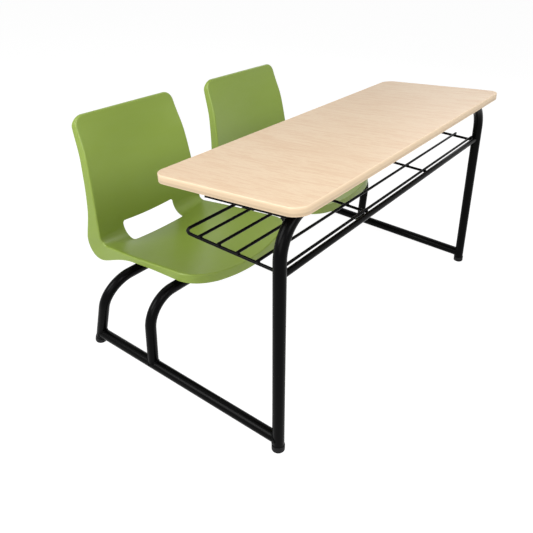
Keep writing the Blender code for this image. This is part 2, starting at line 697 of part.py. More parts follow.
def build_seats(plastic, zinc, arches, root):
    """Two shells with saddles on the lower arches, each held by four screws up through the tubes."""
    rows = shell_rows(4, 6, 8, 6, 5)
    screw_low = -TUBE_R - GAP
    screw_tip = PAN_LEVEL + SADDLE_LIFT - SCREW_COVER
    saddle_high = PAN_LEVEL + SADDLE_LIFT - SHELL / 2
    backs = (0, BEAM_GAP)
    tube_holes = [bmesh.new() for back in backs]
    for side, sign in SIDES.items():
        seat_x = sign * SEAT_SPACING / 2
        shell = add_object("seat_shell_" + side, shell_mesh(rows, 14, 3), plastic, root)
        shell.location.x = seat_x
        wall = shell.modifiers.new("wall", "SOLIDIFY")
        wall.thickness = SHELL
        wall.offset = -1
        wall.use_even_offset = True
        cut(shell, add_cutter("opening_cutter_" + side, opening_cutter(seat_x), root))
        saddles = bmesh.new()
        sockets = bmesh.new()
        for k in range(4):
            x = seat_x + (-1, 1)[k // 2] * SADDLE_X
            back = backs[k % 2]
            middle = beam_point(x, back, (SADDLE_LOW + saddle_high) / 2)
            block(saddles, (SADDLE_WIDTH, SADDLE_DEPTH, saddle_high - SADDLE_LOW), upright(middle))
            hole(sockets, beam_point(x, back, 0), PAN_UP, screw_tip + GAP)
            hole(tube_holes[k % 2], beam_point(x, back, screw_low - CUT), PAN_UP, TUBE + 2 * CUT)
            name = "seat_screw_" + side + "_" + str(k + 1)
            add_screw(name, beam_point(x, back, screw_low), PAN_UP, screw_tip - screw_low, zinc, root)
        cut(shell, add_cutter("saddle_shape_" + side, saddles, root), "UNION")
        for back, end in zip(backs, ("front", "rear")):
            cut(shell, beam_cutter("beam_cutter_" + end + "_" + side, back, seat_x, root))
        cut(shell, add_cutter("socket_cutter_" + side, sockets, root))
    for arch, bm, end in zip(arches, tube_holes, ("front", "rear")):
        cut(arch, add_cutter("tube_hole_cutter_" + end, bm, root))


def main():
    clear_scene()
    root = bpy.data.objects.new("desk_origin", None)
    root.location = (0, -ORIGIN_Y, 0)
    bpy.context.scene.collection.objects.link(root)
    steel = material("black_coated_steel", (0.012, 0.012, 0.013), 0.35, 0.0)
    green = material("green_moulded_plastic", (0.26, 0.38, 0.10), 0.45, 0.0)
    maple = material("maple_laminate", (0.86, 0.68, 0.48), 0.45, 0.0)
    black = material("black_plastic", (0.015, 0.015, 0.016), 0.5, 0.0)
    zinc = material("zinc_screws", (0.60, 0.60, 0.58), 0.35, 1.0)
    desk_cutter, *seat_arches = build_frame(steel, root)
    build_feet(black, root)
    build_desktop(maple, root)
    build_arms(steel, black, zinc, desk_cutter, root)
    build_rack(steel, root)
    build_seats(green, zinc, seat_arches, root)
    bpy.context.view_layer.update()


main()
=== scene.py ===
"""Double school desk, dressed: a maple desktop and a wire book rack on a black tube frame
that also carries two green moulded seats. Metres, +Z up, X along the desk, sitters at +Y."""

from math import acos, cos, pi, radians, sin, tan
from typing import NamedTuple

import bmesh
import bpy
from bpy.props import FloatProperty, FloatVectorProperty, IntProperty, PointerProperty
from mathutils import Matrix, Vector


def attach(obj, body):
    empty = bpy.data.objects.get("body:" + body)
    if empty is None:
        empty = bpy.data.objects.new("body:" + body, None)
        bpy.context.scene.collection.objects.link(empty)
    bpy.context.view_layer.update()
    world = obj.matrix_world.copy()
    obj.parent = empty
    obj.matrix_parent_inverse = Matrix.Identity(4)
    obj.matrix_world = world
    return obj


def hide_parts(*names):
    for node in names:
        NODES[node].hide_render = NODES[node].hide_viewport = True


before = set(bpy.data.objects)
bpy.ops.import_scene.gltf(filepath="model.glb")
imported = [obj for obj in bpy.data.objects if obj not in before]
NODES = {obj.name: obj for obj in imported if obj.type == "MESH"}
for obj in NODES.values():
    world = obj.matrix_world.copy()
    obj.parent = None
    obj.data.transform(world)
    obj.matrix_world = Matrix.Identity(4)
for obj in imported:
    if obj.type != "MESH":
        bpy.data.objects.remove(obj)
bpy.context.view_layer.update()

bl_info = {
    "name": "Double School Desk",
    "version": (1, 0, 0),
    "blender": (4, 5, 0),
    "location": "View3D > Sidebar > School Desk",
    "description": "Builds a double school desk with moulded seats, piece by piece",
    "category": "Add Mesh",
}

BODY = "root"

ALONG = Vector((1, 0, 0))
REARWARD = Vector((0, 1, 0))
UPWARD = Vector((0, 0, 1))
SIDES = {"left": -1, "right": 1}
GAP = 0.0003


# Settings that a user would change

def metres(name, text, default):
    return FloatProperty(name=name, description=text, default=default, unit="LENGTH")


def degrees(name, text, default):
    return FloatProperty(name=name, description=text, default=radians(default), subtype="ANGLE")


def watts(name, text, default):
    return FloatProperty(name=name, description=text, default=default, unit="POWER")


def number(name, text, default):
    return IntProperty(name=name, description=text, default=default, min=1)


def tint(name, text, default):
    return FloatVectorProperty(name=name, description=text, default=default, subtype="COLOR", size=3)


class FrameSettings(bpy.types.PropertyGroup):
    """Sizes of the welded tube frame."""
    feet_line: metres("Front feet", "Place of the front feet along Y", -0.4838)
    foot_spacing: metres("Foot spacing", "Distance between the two front feet", 1.3776)
    tube: metres("Tube", "Outer diameter of the round tube", 0.035)
    lean_back: degrees("Lean back", "How far the desk arch leans to the rear", 4.52)
    lean_in: degrees("Lean in", "How far the desk legs lean to each other", 1.6)
    desk_bend: metres("Desk bend", "Bend radius at the top of the desk legs", 0.110)
    rail_height: metres("Rail height", "Height of the floor rails' centre line", 0.039)
    stretcher: metres("Stretcher", "Diameter of the bar between the desk legs", 0.018)
    stretcher_height: metres("Stretcher height", "Height of that bar", 0.5575)
    post_depth: metres("Seat post depth", "Front seat posts behind the front feet", 0.5039)
    post_height: metres("Front beam", "Height of the front beam under the seats", 0.2825)
    seat_bend: metres("Seat bend", "Bend radius of the two seat arches", 0.100)
    rear_depth: metres("Rear feet", "Rear feet behind the front feet", 0.7670)
    rear_height: metres("Rear beam", "Height of the rear beam under the seats", 0.2577)
    rear_lean: degrees("Rear lean", "How far the rear arch leans to the rear", -14.3)
    weld: metres("Weld", "Radius of the weld beads between tubes", 0.0026)
    colour: tint("Coating", "Colour of the powder coating", (0.0014, 0.0014, 0.0015))
    cap_colour: tint("Caps", "Colour of the plastic foot caps", (0.0065, 0.0065, 0.0070))


class DesktopSettings(bpy.types.PropertyGroup):
    """Sizes and colours of the sloping desktop."""
    length: metres("Length", "Length of the panel", 1.353)
    depth: metres("Depth", "Depth of the panel", 0.476)
    thickness: metres("Thickness", "Thickness of the panel", 0.024)
    height: metres("Height", "Height of the upper face above the front feet", 0.754)
    slope: degrees("Slope", "Fall of the panel towards the sitters", 5.82)
    overhang: metres("Overhang", "Front edge ahead of the front feet", 0.002)
    corner: metres("Corner", "Radius of the corners seen from above", 0.043)
    arris: metres("Arris", "Radius of the upper edge", 0.0025)
    under_arris: metres("Lower arris", "Radius of the lower edge", 0.0015)
    light: tint("Light grain", "Colour of the pale growth of the grain", (0.870, 0.675, 0.465))
    dark: tint("Dark grain", "Colour of the darker growth of the grain", (0.745, 0.485, 0.290))
    edge: tint("Edge", "Colour of the edge band", (0.79, 0.595, 0.385))


class RackSettings(bpy.types.PropertyGroup):
    """Sizes of the wire book rack."""
    rod: metres("Rod", "Diameter of the rod round the rack", 0.0095)
    wire: metres("Wire", "Diameter of the rack's wires", 0.0085)
    width: metres("Width", "Width between the rod's side runs", 1.305)
    depth: metres("Depth", "Depth from the stretcher to the rear rod", 0.3383)
    corner: metres("Corner", "Bend radius of the rod's rear corners", 0.030)
    drop: metres("Drop", "Rod below the middle of the stretcher", 0.002)
    wires: number("Wires", "Number of long wires", 5)
    first: metres("First wire", "Foremost wire behind the stretcher", 0.0158)
    over: metres("Overrun", "How far the wires run past the side rods", 0.0065)
    cross_spacing: metres("Cross spacing", "Between the two cross wires", 0.420)


class SeatSettings(bpy.types.PropertyGroup):
    """Sizes and colours of the two moulded seats."""
    spacing: metres("Spacing", "Distance between the two seats' middles", 0.6357)
    wall: metres("Wall", "Thickness of the moulding", 0.0045)
    rim: metres("Rim", "Rounding of the moulding's bare edges", 0.0012)
    colour: tint("Seat", "Colour of the moulded seats", (0.258, 0.362, 0.044))


class ScrewSettings(bpy.types.PropertyGroup):
    """Sizes of the screws under the seats and the desktop."""
    head: metres("Head", "Diameter of the pan heads", 0.011)
    head_height: metres("Head height", "Height of the pan heads", 0.003)
    shank: metres("Shank", "Diameter of the screws", 0.005)
    colour: tint("Zinc", "Colour of the plating", (0.60, 0.60, 0.58))


class StageSettings(bpy.types.PropertyGroup):
    """Camera and light."""
    focal: FloatProperty(name="Focal length", description="Lens length for a 36 mm sensor", default=39.519)
    shift: FloatVectorProperty(name="Shift", description="Lens shift across and up the picture", size=2,
                               default=(-0.00206, 0.0009))
    viewpoint: FloatVectorProperty(name="Viewpoint", description="Where the camera stands", size=3,
                                   default=(-1.65779, -1.09802, 1.32366), subtype="TRANSLATION")
    heading: degrees("Heading", "Turn of the view about the vertical from one to the rear", -54.76898)
    tilt: degrees("Tilt", "Rise of the view from straight down", 58.08823)
    roll: degrees("Roll", "Turn of the camera about its own view", 2.96720)
    floor: metres("Floor", "Side of the square floor", 30.0)
    key: watts("Key light", "Power of the lamp high beyond the near end", 82.0)
    side: watts("Side light", "Power of the low lamp beyond the near end", 25.0)
    front: watts("Front light", "Power of the lamp in front of the desk", 75.0)
    sheen: watts("Sheen light", "Power of the lamp high beyond the far end", 13.0)
    ambient: FloatProperty(name="Ambient", description="Strength of the light from all round", default=0.15)


# Finishes

# Sockets of a mix node that take and give colours
MIX_FIRST, MIX_SECOND, MIX_RESULT = 6, 7, 2


class NodeTree:
    """A tree of shader nodes that is built up node by node."""

    def __init__(self, tree):
        self.tree = tree

    def join(self, source, target):
        self.tree.links.new(source, target)

    def node(self, kind, *sources, **values):
        """A node with its first inputs joined to the sources, and properties or inputs set by name."""
        fresh = self.tree.nodes.new(kind)
        for key, value in values.items():
            if hasattr(fresh, key):
                setattr(fresh, key, value)
            else:
                fresh.inputs[key.replace("_", " ")].default_value = value
        for source, socket in zip(sources, fresh.inputs):
            self.join(source, socket)
        return fresh


class Finish(NodeTree):
    """A material with procedural nodes that are fixed to the piece."""

    def __init__(self, name):
        self.material = bpy.data.materials.new(name)
        self.material.use_nodes = True
        super().__init__(self.material.node_tree)
        self.tree.nodes.clear()

    def noise(self, grains, detail, roughness, distortion=0.0):
        """Noise with that many grains in a metre: one number, or one each along X, Y and Z."""
        scale = grains if isinstance(grains, tuple) else (grains,) * 3
        place = self.node("ShaderNodeTexCoord").outputs["Object"]
        stretched = self.node("ShaderNodeMapping", place, Scale=scale).outputs["Vector"]
        return self.node("ShaderNodeTexNoise", stretched, Scale=1, Detail=detail, Roughness=roughness,
                         Distortion=distortion).outputs["Fac"]

    def spread(self, source, low, high):
        """Maps a 0 to 1 value on to low to high."""
        return self.node("ShaderNodeMapRange", source, To_Min=low, To_Max=high).outputs["Result"]

    def band(self, source, start, end):
        """0 below start and 1 above end, smooth between."""
        return self.node("ShaderNodeMapRange", source, interpolation_type="SMOOTHSTEP",
                         From_Min=start, From_Max=end).outputs["Result"]

    def mix(self, share, first, second):
        """first where share is 0 and second where it is 1. Each is a colour or an output."""
        fresh = self.node("ShaderNodeMix", share, data_type="RGBA")
        for socket, value in ((fresh.inputs[MIX_FIRST], first), (fresh.inputs[MIX_SECOND], second)):
            if isinstance(value, bpy.types.NodeSocket):
                self.join(value, socket)
            else:
                socket.default_value = (*value, 1)
        return fresh.outputs[MIX_RESULT]

    def surface(self, colour, gloss, relief, **values):
        """Ends the material. gloss is a source with the least and most roughness, relief a source
        with the strength and depth of its bumps, and values are other inputs of the shader."""
        source, low, high = gloss
        height, strength, depth = relief
        bumps = self.node("ShaderNodeBump", Strength=strength, Distance=depth)
        self.join(height, bumps.inputs["Height"])
        shader = self.node("ShaderNodeBsdfPrincipled", **values)
        self.join(colour, shader.inputs["Base Color"])
        self.join(self.spread(source, low, high), shader.inputs["Roughness"])
        self.join(bumps.outputs["Normal"], shader.inputs["Normal"])
        self.node("ShaderNodeOutputMaterial", shader.outputs["BSDF"])
        return self.material


def tone(colour, share):
    return tuple(min(1.0, channel * share) for channel in colour)


def between(first, second, share):
    return tuple(a + (b - a) * share for a, b in zip(first, second))


def coated_steel(name, colour):
    """Black satin powder coating: a fine orange peel, and a little unevenness in its gloss."""
    steel = Finish(name)
    cloud = steel.noise(9, detail=3, roughness=0.55)
    peel = steel.noise(700, detail=2, roughness=0.5)
    return steel.surface(steel.mix(cloud, tone(colour, 0.8), tone(colour, 1.35)),
                         gloss=(cloud, 0.20, 0.32), relief=(peel, 0.05, 0.0004),
                         IOR=1.2, Specular_IOR_Level=0.26)


def weld_metal(name, colour):
    """The same coating over a rippled weld."""
    weld = Finish(name)
    cloud = weld.noise(60, detail=3, roughness=0.6)
    ripple = weld.noise(380, detail=2, roughness=0.5, distortion=0.6)
    return weld.surface(weld.mix(cloud, tone(colour, 0.8), tone(colour, 1.6)),
                        gloss=(cloud, 0.34, 0.5), relief=(ripple, 0.35, 0.0008),
                        IOR=1.2, Specular_IOR_Level=0.2)


def black_moulding(name, colour):
    """Matt black plastic of the caps, with a fine spark-eroded grain and scuffs."""
    cap = Finish(name)
    scuff = cap.noise((34, 34, 204), detail=5, roughness=0.7)
    grain = cap.noise(1400, detail=2, roughness=0.6)
    return cap.surface(cap.mix(cap.band(scuff, 0.52, 0.74), colour, tone(colour, 2.2)),
                       gloss=(scuff, 0.42, 0.62), relief=(grain, 0.2, 0.0003), IOR=1.25)


PALE_FLOW = (0.38, 0.50, 0.20)


def moulded_green(name, colour):
    """Satin moulded plastic: clouds of slightly different tone, fine leathery grain, faint rubbing."""
    green = Finish(name)
    cloud = green.noise(4.5, detail=2, roughness=0.5)
    flow = green.noise((11, 11, 33), detail=3, roughness=0.55, distortion=0.4)
    rub = green.noise(26, detail=5, roughness=0.65)
    grain = green.noise(1100, detail=3, roughness=0.6)
    tinted = green.mix(cloud, tone(colour, 0.94), tone(colour, 1.06))
    return green.surface(green.mix(green.spread(flow, 0, 0.10), tinted, PALE_FLOW),
                         gloss=(rub, 0.31, 0.43), relief=(grain, 0.16, 0.0004), Specular_IOR_Level=0.55)


def maple_face(name, light, dark):
    """Pale maple laminate with its grain from front to rear: long soft streaks, flames and short pores."""
    maple = Finish(name)
    cloud = maple.noise((7, 0.9, 7), detail=3, roughness=0.5, distortion=0.6)
    streak = maple.noise((95, 3.2, 95), detail=4, roughness=0.62, distortion=0.5)
    fine = maple.noise((520, 16, 520), detail=3, roughness=0.6)
    pore = maple.noise((900, 55, 900), detail=2, roughness=0.5)
    wood = maple.mix(maple.band(cloud, 0.36, 0.64), light, between(light, dark, 0.20))
    for lines, start, end, most in ((streak, 0.46, 0.62, 0.42), (fine, 0.48, 0.62, 0.34),
                                    (pore, 0.58, 0.70, 0.30)):
        wood = maple.mix(maple.spread(maple.band(lines, start, end), 0, most), wood, dark)
    return maple.surface(wood, gloss=(streak, 0.40, 0.50), relief=(fine, 0.05, 0.0002))


def maple_edge(name, colour, light):
    """The edge band: maple on its side, with a soft brown line low on it and a painted highlight along the
    top.
    """
    edge = Finish(name)
    place = edge.node("ShaderNodeUVMap", uv_map="UVMap").outputs["UV"]
    height = edge.node("ShaderNodeSeparateXYZ", place).outputs["Y"]
    wave = edge.noise((26, 26, 420), detail=4, roughness=0.6, distortion=0.4)
    ground = edge.mix(wave, tone(colour, 0.94), between(colour, light, 0.5))
    line = edge.node("ShaderNodeMath", edge.band(height, 0.08, 0.18), edge.band(height, 0.30, 0.46),
                     operation="SUBTRACT").outputs["Value"]
    lined = edge.mix(edge.spread(line, 0, 0.75), ground, tone(colour, 0.78))
    # Painted highlight: the upper part of the band is painted paler, standing in for light on the top
    # arris.
    painted_highlight_rim = edge.mix(edge.band(height, 0.60, 0.98), lined, tone(light, 1.07))
    return edge.surface(painted_highlight_rim, gloss=(wave, 0.36, 0.50), relief=(wave, 0.06, 0.0003))


DULL_MAPLE = (0.60, 0.44, 0.29)
PALE_MAPLE = (0.70, 0.53, 0.37)


def backing_sheet(name):
    """The plain balancing sheet under the desktop."""
    sheet = Finish(name)
    fibre = sheet.noise((220, 40, 220), detail=4, roughness=0.65)
    return sheet.surface(sheet.mix(fibre, DULL_MAPLE, PALE_MAPLE),
                         gloss=(fibre, 0.55, 0.7), relief=(fibre, 0.1, 0.0003))


def zinc_plate(name, colour):
    """Bright zinc on the screws, with dull patches."""
    zinc = Finish(name)
    patch = zinc.noise(420, detail=4, roughness=0.6)
    return zinc.surface(zinc.mix(patch, tone(colour, 0.8), tone(colour, 1.1)),
                        gloss=(patch, 0.26, 0.45), relief=(patch, 0.08, 0.0002), Metallic=1)


FINISHES = {
    "black_powder_coat": (coated_steel, "desk_frame", "colour"),
    "coated_weld": (weld_metal, "desk_frame", "colour"),
    "black_cap_plastic": (black_moulding, "desk_frame", "cap_colour"),
    "green_moulded_plastic": (moulded_green, "desk_seats", "colour"),
    "maple_top_face": (maple_face, "desk_top", "light", "dark"),
    "maple_edge": (maple_edge, "desk_top", "edge", "light"),
    "backing_sheet": (backing_sheet, "desk_top"),
    "zinc_plating": (zinc_plate, "desk_screws", "colour"),
}


def finish_for(name):
    """Each finish is made once, from the colours in its settings, and then shared."""
    made = bpy.data.materials.get(name)
    if made:
        return made
    maker, group, *colours = FINISHES[name]
    settings = getattr(bpy.context.scene, group)
    return maker(name, *[tuple(getattr(settings, colour)) for colour in colours])


# Mesh tools

TUBE_SIDES = 48
ROD_SIDES = 20
BEND_STEPS = 24


def add_piece(name, bm, finishes, replaced=(), sharp=radians(50)):
    """Turns the mesh into a piece that rides on the frame, takes a slot and stands for CAD nodes."""
    mesh = bpy.data.meshes.new(name)
    bm.to_mesh(mesh)
    bm.free()
    mesh.shade_smooth()
    mesh.set_sharp_from_angle(angle=sharp)
    for key in finishes:
        mesh.materials.append(finish_for(key))
    piece = bpy.data.objects.new(name, mesh)
    bpy.context.scene.collection.objects.link(piece)
    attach(piece, BODY)
    for cad_node in replaced:
        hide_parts(cad_node)
    return piece


def add_bar(cad_node, ending, path, diameter, sides):
    """A coated round bar along a path, in place of a CAD node."""
    bm = bmesh.new()
    sweep(bm, path, [diameter / 2] * len(path), sides)
    add_piece(cad_node + ending, bm, ["black_powder_coat"], [cad_node])


def frame_at(origin, x_axis, y_axis, z_axis):
    place = Matrix((x_axis, y_axis, z_axis)).transposed().to_4x4()
    place.translation = origin
    return place


def turns(start, end, steps):
    """Angles from start to end in equal steps, with both ends."""
    return [start + (end - start) * k / steps for k in range(steps + 1)]


def circle(centre, first, second, radius, count):
    """Points round a circle that starts in the first direction and turns to the second."""
    return [centre + radius * (cos(turn) * first + sin(turn) * second)
            for turn in turns(0, 2 * pi, count)[:-1]]


def corners(bm, points, place=Matrix()):
    return [bm.verts.new(place @ point) for point in points]


def bridge(bm, rings):
    """Quads between closed rings of equally many corners."""
    count = len(rings[0])
    for low, high in zip(rings, rings[1:]):
        for k in range(count):
            n = (k + 1) % count
            bm.faces.new((low[k], low[n], high[n], high[k]))


def solid(bm, rings, place=Matrix()):
    """A solid through rings of points, with a flat face at each end, set in place."""
    rings = [corners(bm, ring, place) for ring in rings]
    bridge(bm, rings)
    bm.faces.new(rings[0][::-1])
    bm.faces.new(rings[-1])


def sweep(bm, path, radii, sides, loop=False):
    """A round bar along points, one radius for each. A loop joins its end to its start."""
    count = len(path)
    tangents = []
    for i in range(count):
        before = path[i - 1] if loop or i > 0 else path[0]
        after = path[(i + 1) % count] if loop or i < count - 1 else path[-1]
        tangents.append((after - before).normalized())
    aside = tangents[0].orthogonal().normalized()
    rings = []
    for centre, tangent, radius in zip(path, tangents, radii):
        aside = (aside - tangent * aside.dot(tangent)).normalized()
        rings.append(circle(centre, aside, tangent.cross(aside), radius, sides))
    if not loop:
        solid(bm, rings)
        return
    start, end = rings[0], rings[-1]
    shift = min(range(sides), key=lambda s: (start[s] - end[0]).length)
    rings = [corners(bm, ring) for ring in rings]
    bridge(bm, rings + [rings[0][shift:] + rings[0][:shift]])


def turned(profile, sides):
    """Rings of points turned about Z from (radius, height) pairs."""
    return [circle(UPWARD * height, ALONG, REARWARD, radius, sides) for radius, height in profile]


def meeting_ring(point, direction, radius, other_point, other_direction, other_radius, steps):
    """The line where a tube that runs off along direction leaves the side of another tube."""
    across = direction.orthogonal().normalized()
    run = direction - other_direction * direction.dot(other_direction)
    ring = []
    for start in circle(point, across, direction.cross(across), radius, steps):
        away = start - other_point
        away -= other_direction * away.dot(other_direction)
        inside = away.dot(run) ** 2 - run.length_squared * (away.length_squared - other_radius ** 2)
        reach = (-away.dot(run) + max(inside, 0) ** 0.5) / run.length_squared
        ring.append(start + direction * reach)
    return ring


# Frame

FOOT_SOLE = 0.006
WELD_STEPS = 132
WELD_SIDES = 8
WELD_RIPPLES = 22
WELD_RIPPLE_SHARE = 0.10
STRETCHER_WELD_SHARE = 0.7
CAP_LIP_SHARE = 0.45
CAP_ARRIS_SHARE = 0.3
CAP_MOUTH_GAP = GAP / 3


def arch_path(foot_half, foot_y, lean_in, lean_back, start, beam, bend):
    """Centre line of an inverted U: up one leg, round a bend, along the beam and down again.
    start and beam are measured up the leaning plane of the arch."""
    rise = Vector((0, sin(lean_back), cos(lean_back)))
    corner_x = -foot_half + beam * tan(lean_in)
    reach = bend * tan((pi / 2 - lean_in) / 2)
    centre = Vector((corner_x + reach, beam - bend))
    half = [Vector((-foot_half + start * tan(lean_in), start))]
    half += [centre + bend * Vector((cos(turn), sin(turn)))
             for turn in turns(pi - lean_in, pi / 2, BEND_STEPS)]
    flat = half + [Vector((-p.x, p.y)) for p in reversed(half)]
    return [Vector((p.x, foot_y, 0)) + p.y * rise for p in flat]


class FrameLines:
    """Centre lines and directions of the frame, worked out from the settings."""

    def __init__(self, scene):
        s = scene.desk_frame
        t = scene.desk_top
        self.radius = s.tube / 2
        self.home = s.feet_line
        self.foot_half = s.foot_spacing / 2
        tube_start = FOOT_SOLE + GAP
        self.desk_rise = Vector((0, sin(s.lean_back), cos(s.lean_back)))
        up = t.height * cos(t.slope) - t.thickness - self.radius - GAP
        self.desk_beam = up / cos(s.lean_back - t.slope)
        self.rail_half = self.half_at(s, s.rail_height)
        self.stretcher_half = self.half_at(s, s.stretcher_height)
        self.stretcher_y = self.home + s.stretcher_height * tan(s.lean_back)
        self.rail_front = self.home + s.rail_height * tan(s.lean_back)
        self.rail_rear = self.home + s.rear_depth + s.rail_height * tan(s.rear_lean)
        self.post_y = self.home + s.post_depth
        self.rear_rise = Vector((0, sin(s.rear_lean), cos(s.rear_lean)))
        self.rear_y = self.home + s.rear_depth
        self.desk_arch = arch_path(self.foot_half, self.home, s.lean_in, s.lean_back,
                                   tube_start, self.desk_beam, s.desk_bend)
        self.front_arch = arch_path(self.rail_half, self.post_y, 0, 0,
                                    s.rail_height, s.post_height, s.seat_bend)
        self.rear_arch = arch_path(self.rail_half, self.rear_y, 0, s.rear_lean,
                                   tube_start, s.rear_height / cos(s.rear_lean), s.seat_bend)

    def half_at(self, s, height):
        """Half the distance between the desk legs at a height."""
        return self.foot_half - height / cos(s.lean_back) * tan(s.lean_in)

    def leg(self, arch, sign):
        """The lowest point of one leg of an arch, and the leg's upward direction."""
        path = arch if sign < 0 else arch[::-1]
        return path[0], (path[1] - path[0]).normalized()


class MakeFrame(bpy.types.Operator):
    """Make the three arches, the floor rails, the stretcher and the welds between them"""
    bl_idname = "desk.make_frame"
    bl_label = "Tube Frame"

    def execute(self, context):
        s = context.scene.desk_frame
        lines = FrameLines(context.scene)
        arches = {"desk_arch": lines.desk_arch, "seat_arch_front": lines.front_arch,
                  "seat_arch_rear": lines.rear_arch}
        for name, path in arches.items():
            add_bar(name, "_tube", path, s.tube, TUBE_SIDES)
        for side, sign in SIDES.items():
            ends = [Vector((sign * lines.rail_half, y, s.rail_height))
                    for y in (lines.rail_front, lines.rail_rear)]
            add_bar("side_rail_" + side, "_tube", ends, s.tube, TUBE_SIDES)
        ends = [Vector((sign * lines.stretcher_half, lines.stretcher_y, s.stretcher_height))
                for sign in (-1, 1)]
        add_bar("stretcher", "_tube", ends, s.stretcher, ROD_SIDES)
        self.welds(s, lines)
        return {"FINISHED"}

    def welds(self, s, lines):
        """A bead wherever the end of one bar meets the side of a tube."""
        bm = bmesh.new()
        for sign in (-1, 1):
            foot, rise = lines.leg(lines.desk_arch, sign)
            rear_foot = Vector((sign * lines.rail_half, lines.rear_y, 0))
            rail = Vector((sign * lines.rail_half, lines.rail_front, s.rail_height))
            post = Vector((sign * lines.rail_half, lines.post_y, s.rail_height))
            for end, onward, point, direction in ((rail, REARWARD, foot, rise),
                                                  (rail, -REARWARD, rear_foot, lines.rear_rise),
                                                  (post, UPWARD, rail, REARWARD)):
                self.bead(bm, meeting_ring(end, onward, lines.radius, point, direction, lines.radius,
                                           WELD_STEPS), s.weld)
            end = Vector((sign * lines.stretcher_half, lines.stretcher_y, s.stretcher_height))
            self.bead(bm, meeting_ring(end, -ALONG * sign, s.stretcher / 2, foot, rise, lines.radius,
                                       WELD_STEPS // 2), s.weld * STRETCHER_WELD_SHARE)
        add_piece("frame_welds", bm, ["coated_weld"])

    def bead(self, bm, ring, radius):
        """A rippled bead along a closed ring of points."""
        radii = [radius * (1 + WELD_RIPPLE_SHARE * sin(WELD_RIPPLES * turn))
                 for turn in turns(0, 2 * pi, len(ring))[:-1]]
        sweep(bm, ring, radii, WELD_SIDES, loop=True)


class MakeFeet(bpy.types.Operator):
    """Make the four plastic caps on the legs"""
    bl_idname = "desk.make_feet"
    bl_label = "Foot Caps"

    wall: metres("Wall", "Wall of the cap", 0.0015)
    cup: metres("Cup", "Height of the cap round the tube", 0.014)
    dome: metres("Dome", "Rounding of the sole", 0.005)
    hub: metres("Hub", "Radius at the middle of the sole", 0.002)
    hub_sink: metres("Hub sink", "Middle of the sole below the floor before it is cut flat", 0.004)
    sole_sink: metres("Sole sink", "Rest of the sole below the floor before it is cut flat", 0.0012)
    mouth: metres("Mouth", "Depth of the open mouth inside the lip", 0.003)
    dome_steps: number("Dome steps", "Faces round the dome", 7)
    sides: number("Sides", "Faces round the cap", 64)

    def execute(self, context):
        lines = FrameLines(context.scene)
        profile = self.profile(lines.radius)
        feet = {"front": (lines.foot_half, lines.home, lines.desk_arch),
                "rear": (lines.rail_half, lines.rear_y, lines.rear_arch)}
        for end, (half, y, arch) in feet.items():
            for side, sign in SIDES.items():
                axis = lines.leg(arch, sign)[1]
                across = axis.cross(REARWARD).normalized()
                place = frame_at(Vector((sign * half, y, 0)), across, axis.cross(across), axis)
                bm = bmesh.new()
                solid(bm, turned(profile, self.sides), place)
                for vert in bm.verts:
                    vert.co.z = max(vert.co.z, 0)
                bm.normal_update()
                node_name = "foot_" + end + "_" + side
                add_piece(node_name + "_cap", bm, ["black_cap_plastic"], [node_name],
                          sharp=radians(60))
        return {"FINISHED"}

    def profile(self, tube_radius):
        """(radius, height) pairs from the middle of the sole over the lip to the inside."""
        inner = tube_radius + CAP_MOUTH_GAP
        outer = tube_radius + GAP + self.wall
        lip = self.wall * CAP_LIP_SHARE
        arris = lip * CAP_ARRIS_SHARE
        top = FOOT_SOLE + self.cup
        dome = [(outer - self.dome * (1 - sin(turn)), self.dome * (1 - cos(turn)) - self.sole_sink)
                for turn in turns(0, pi / 2, self.dome_steps)]
        return [(self.hub, -self.hub_sink), *dome, (outer, top - lip), (outer - arris, top - arris),
                (outer - lip, top), (inner, top), (inner, top - self.mouth)]


# Desktop

class TopPlace:
    """The upper face of the desktop: its front edge and middle, and directions down it and up from it."""

    def __init__(self, scene):
        t = scene.desk_top
        self.rear = Vector((0, cos(t.slope), -sin(t.slope)))
        self.up = Vector((0, sin(t.slope), cos(t.slope)))
        self.edge = Vector((0, scene.desk_frame.feet_line, t.height)) - self.rear * t.overhang
        self.middle = self.edge + self.rear * t.depth / 2

    def under(self, t, x, back, down):
        """A point below the desktop: at x, back from the front edge, down from the underside."""
        return self.edge + ALONG * x + self.rear * back - self.up * (t.thickness + down)


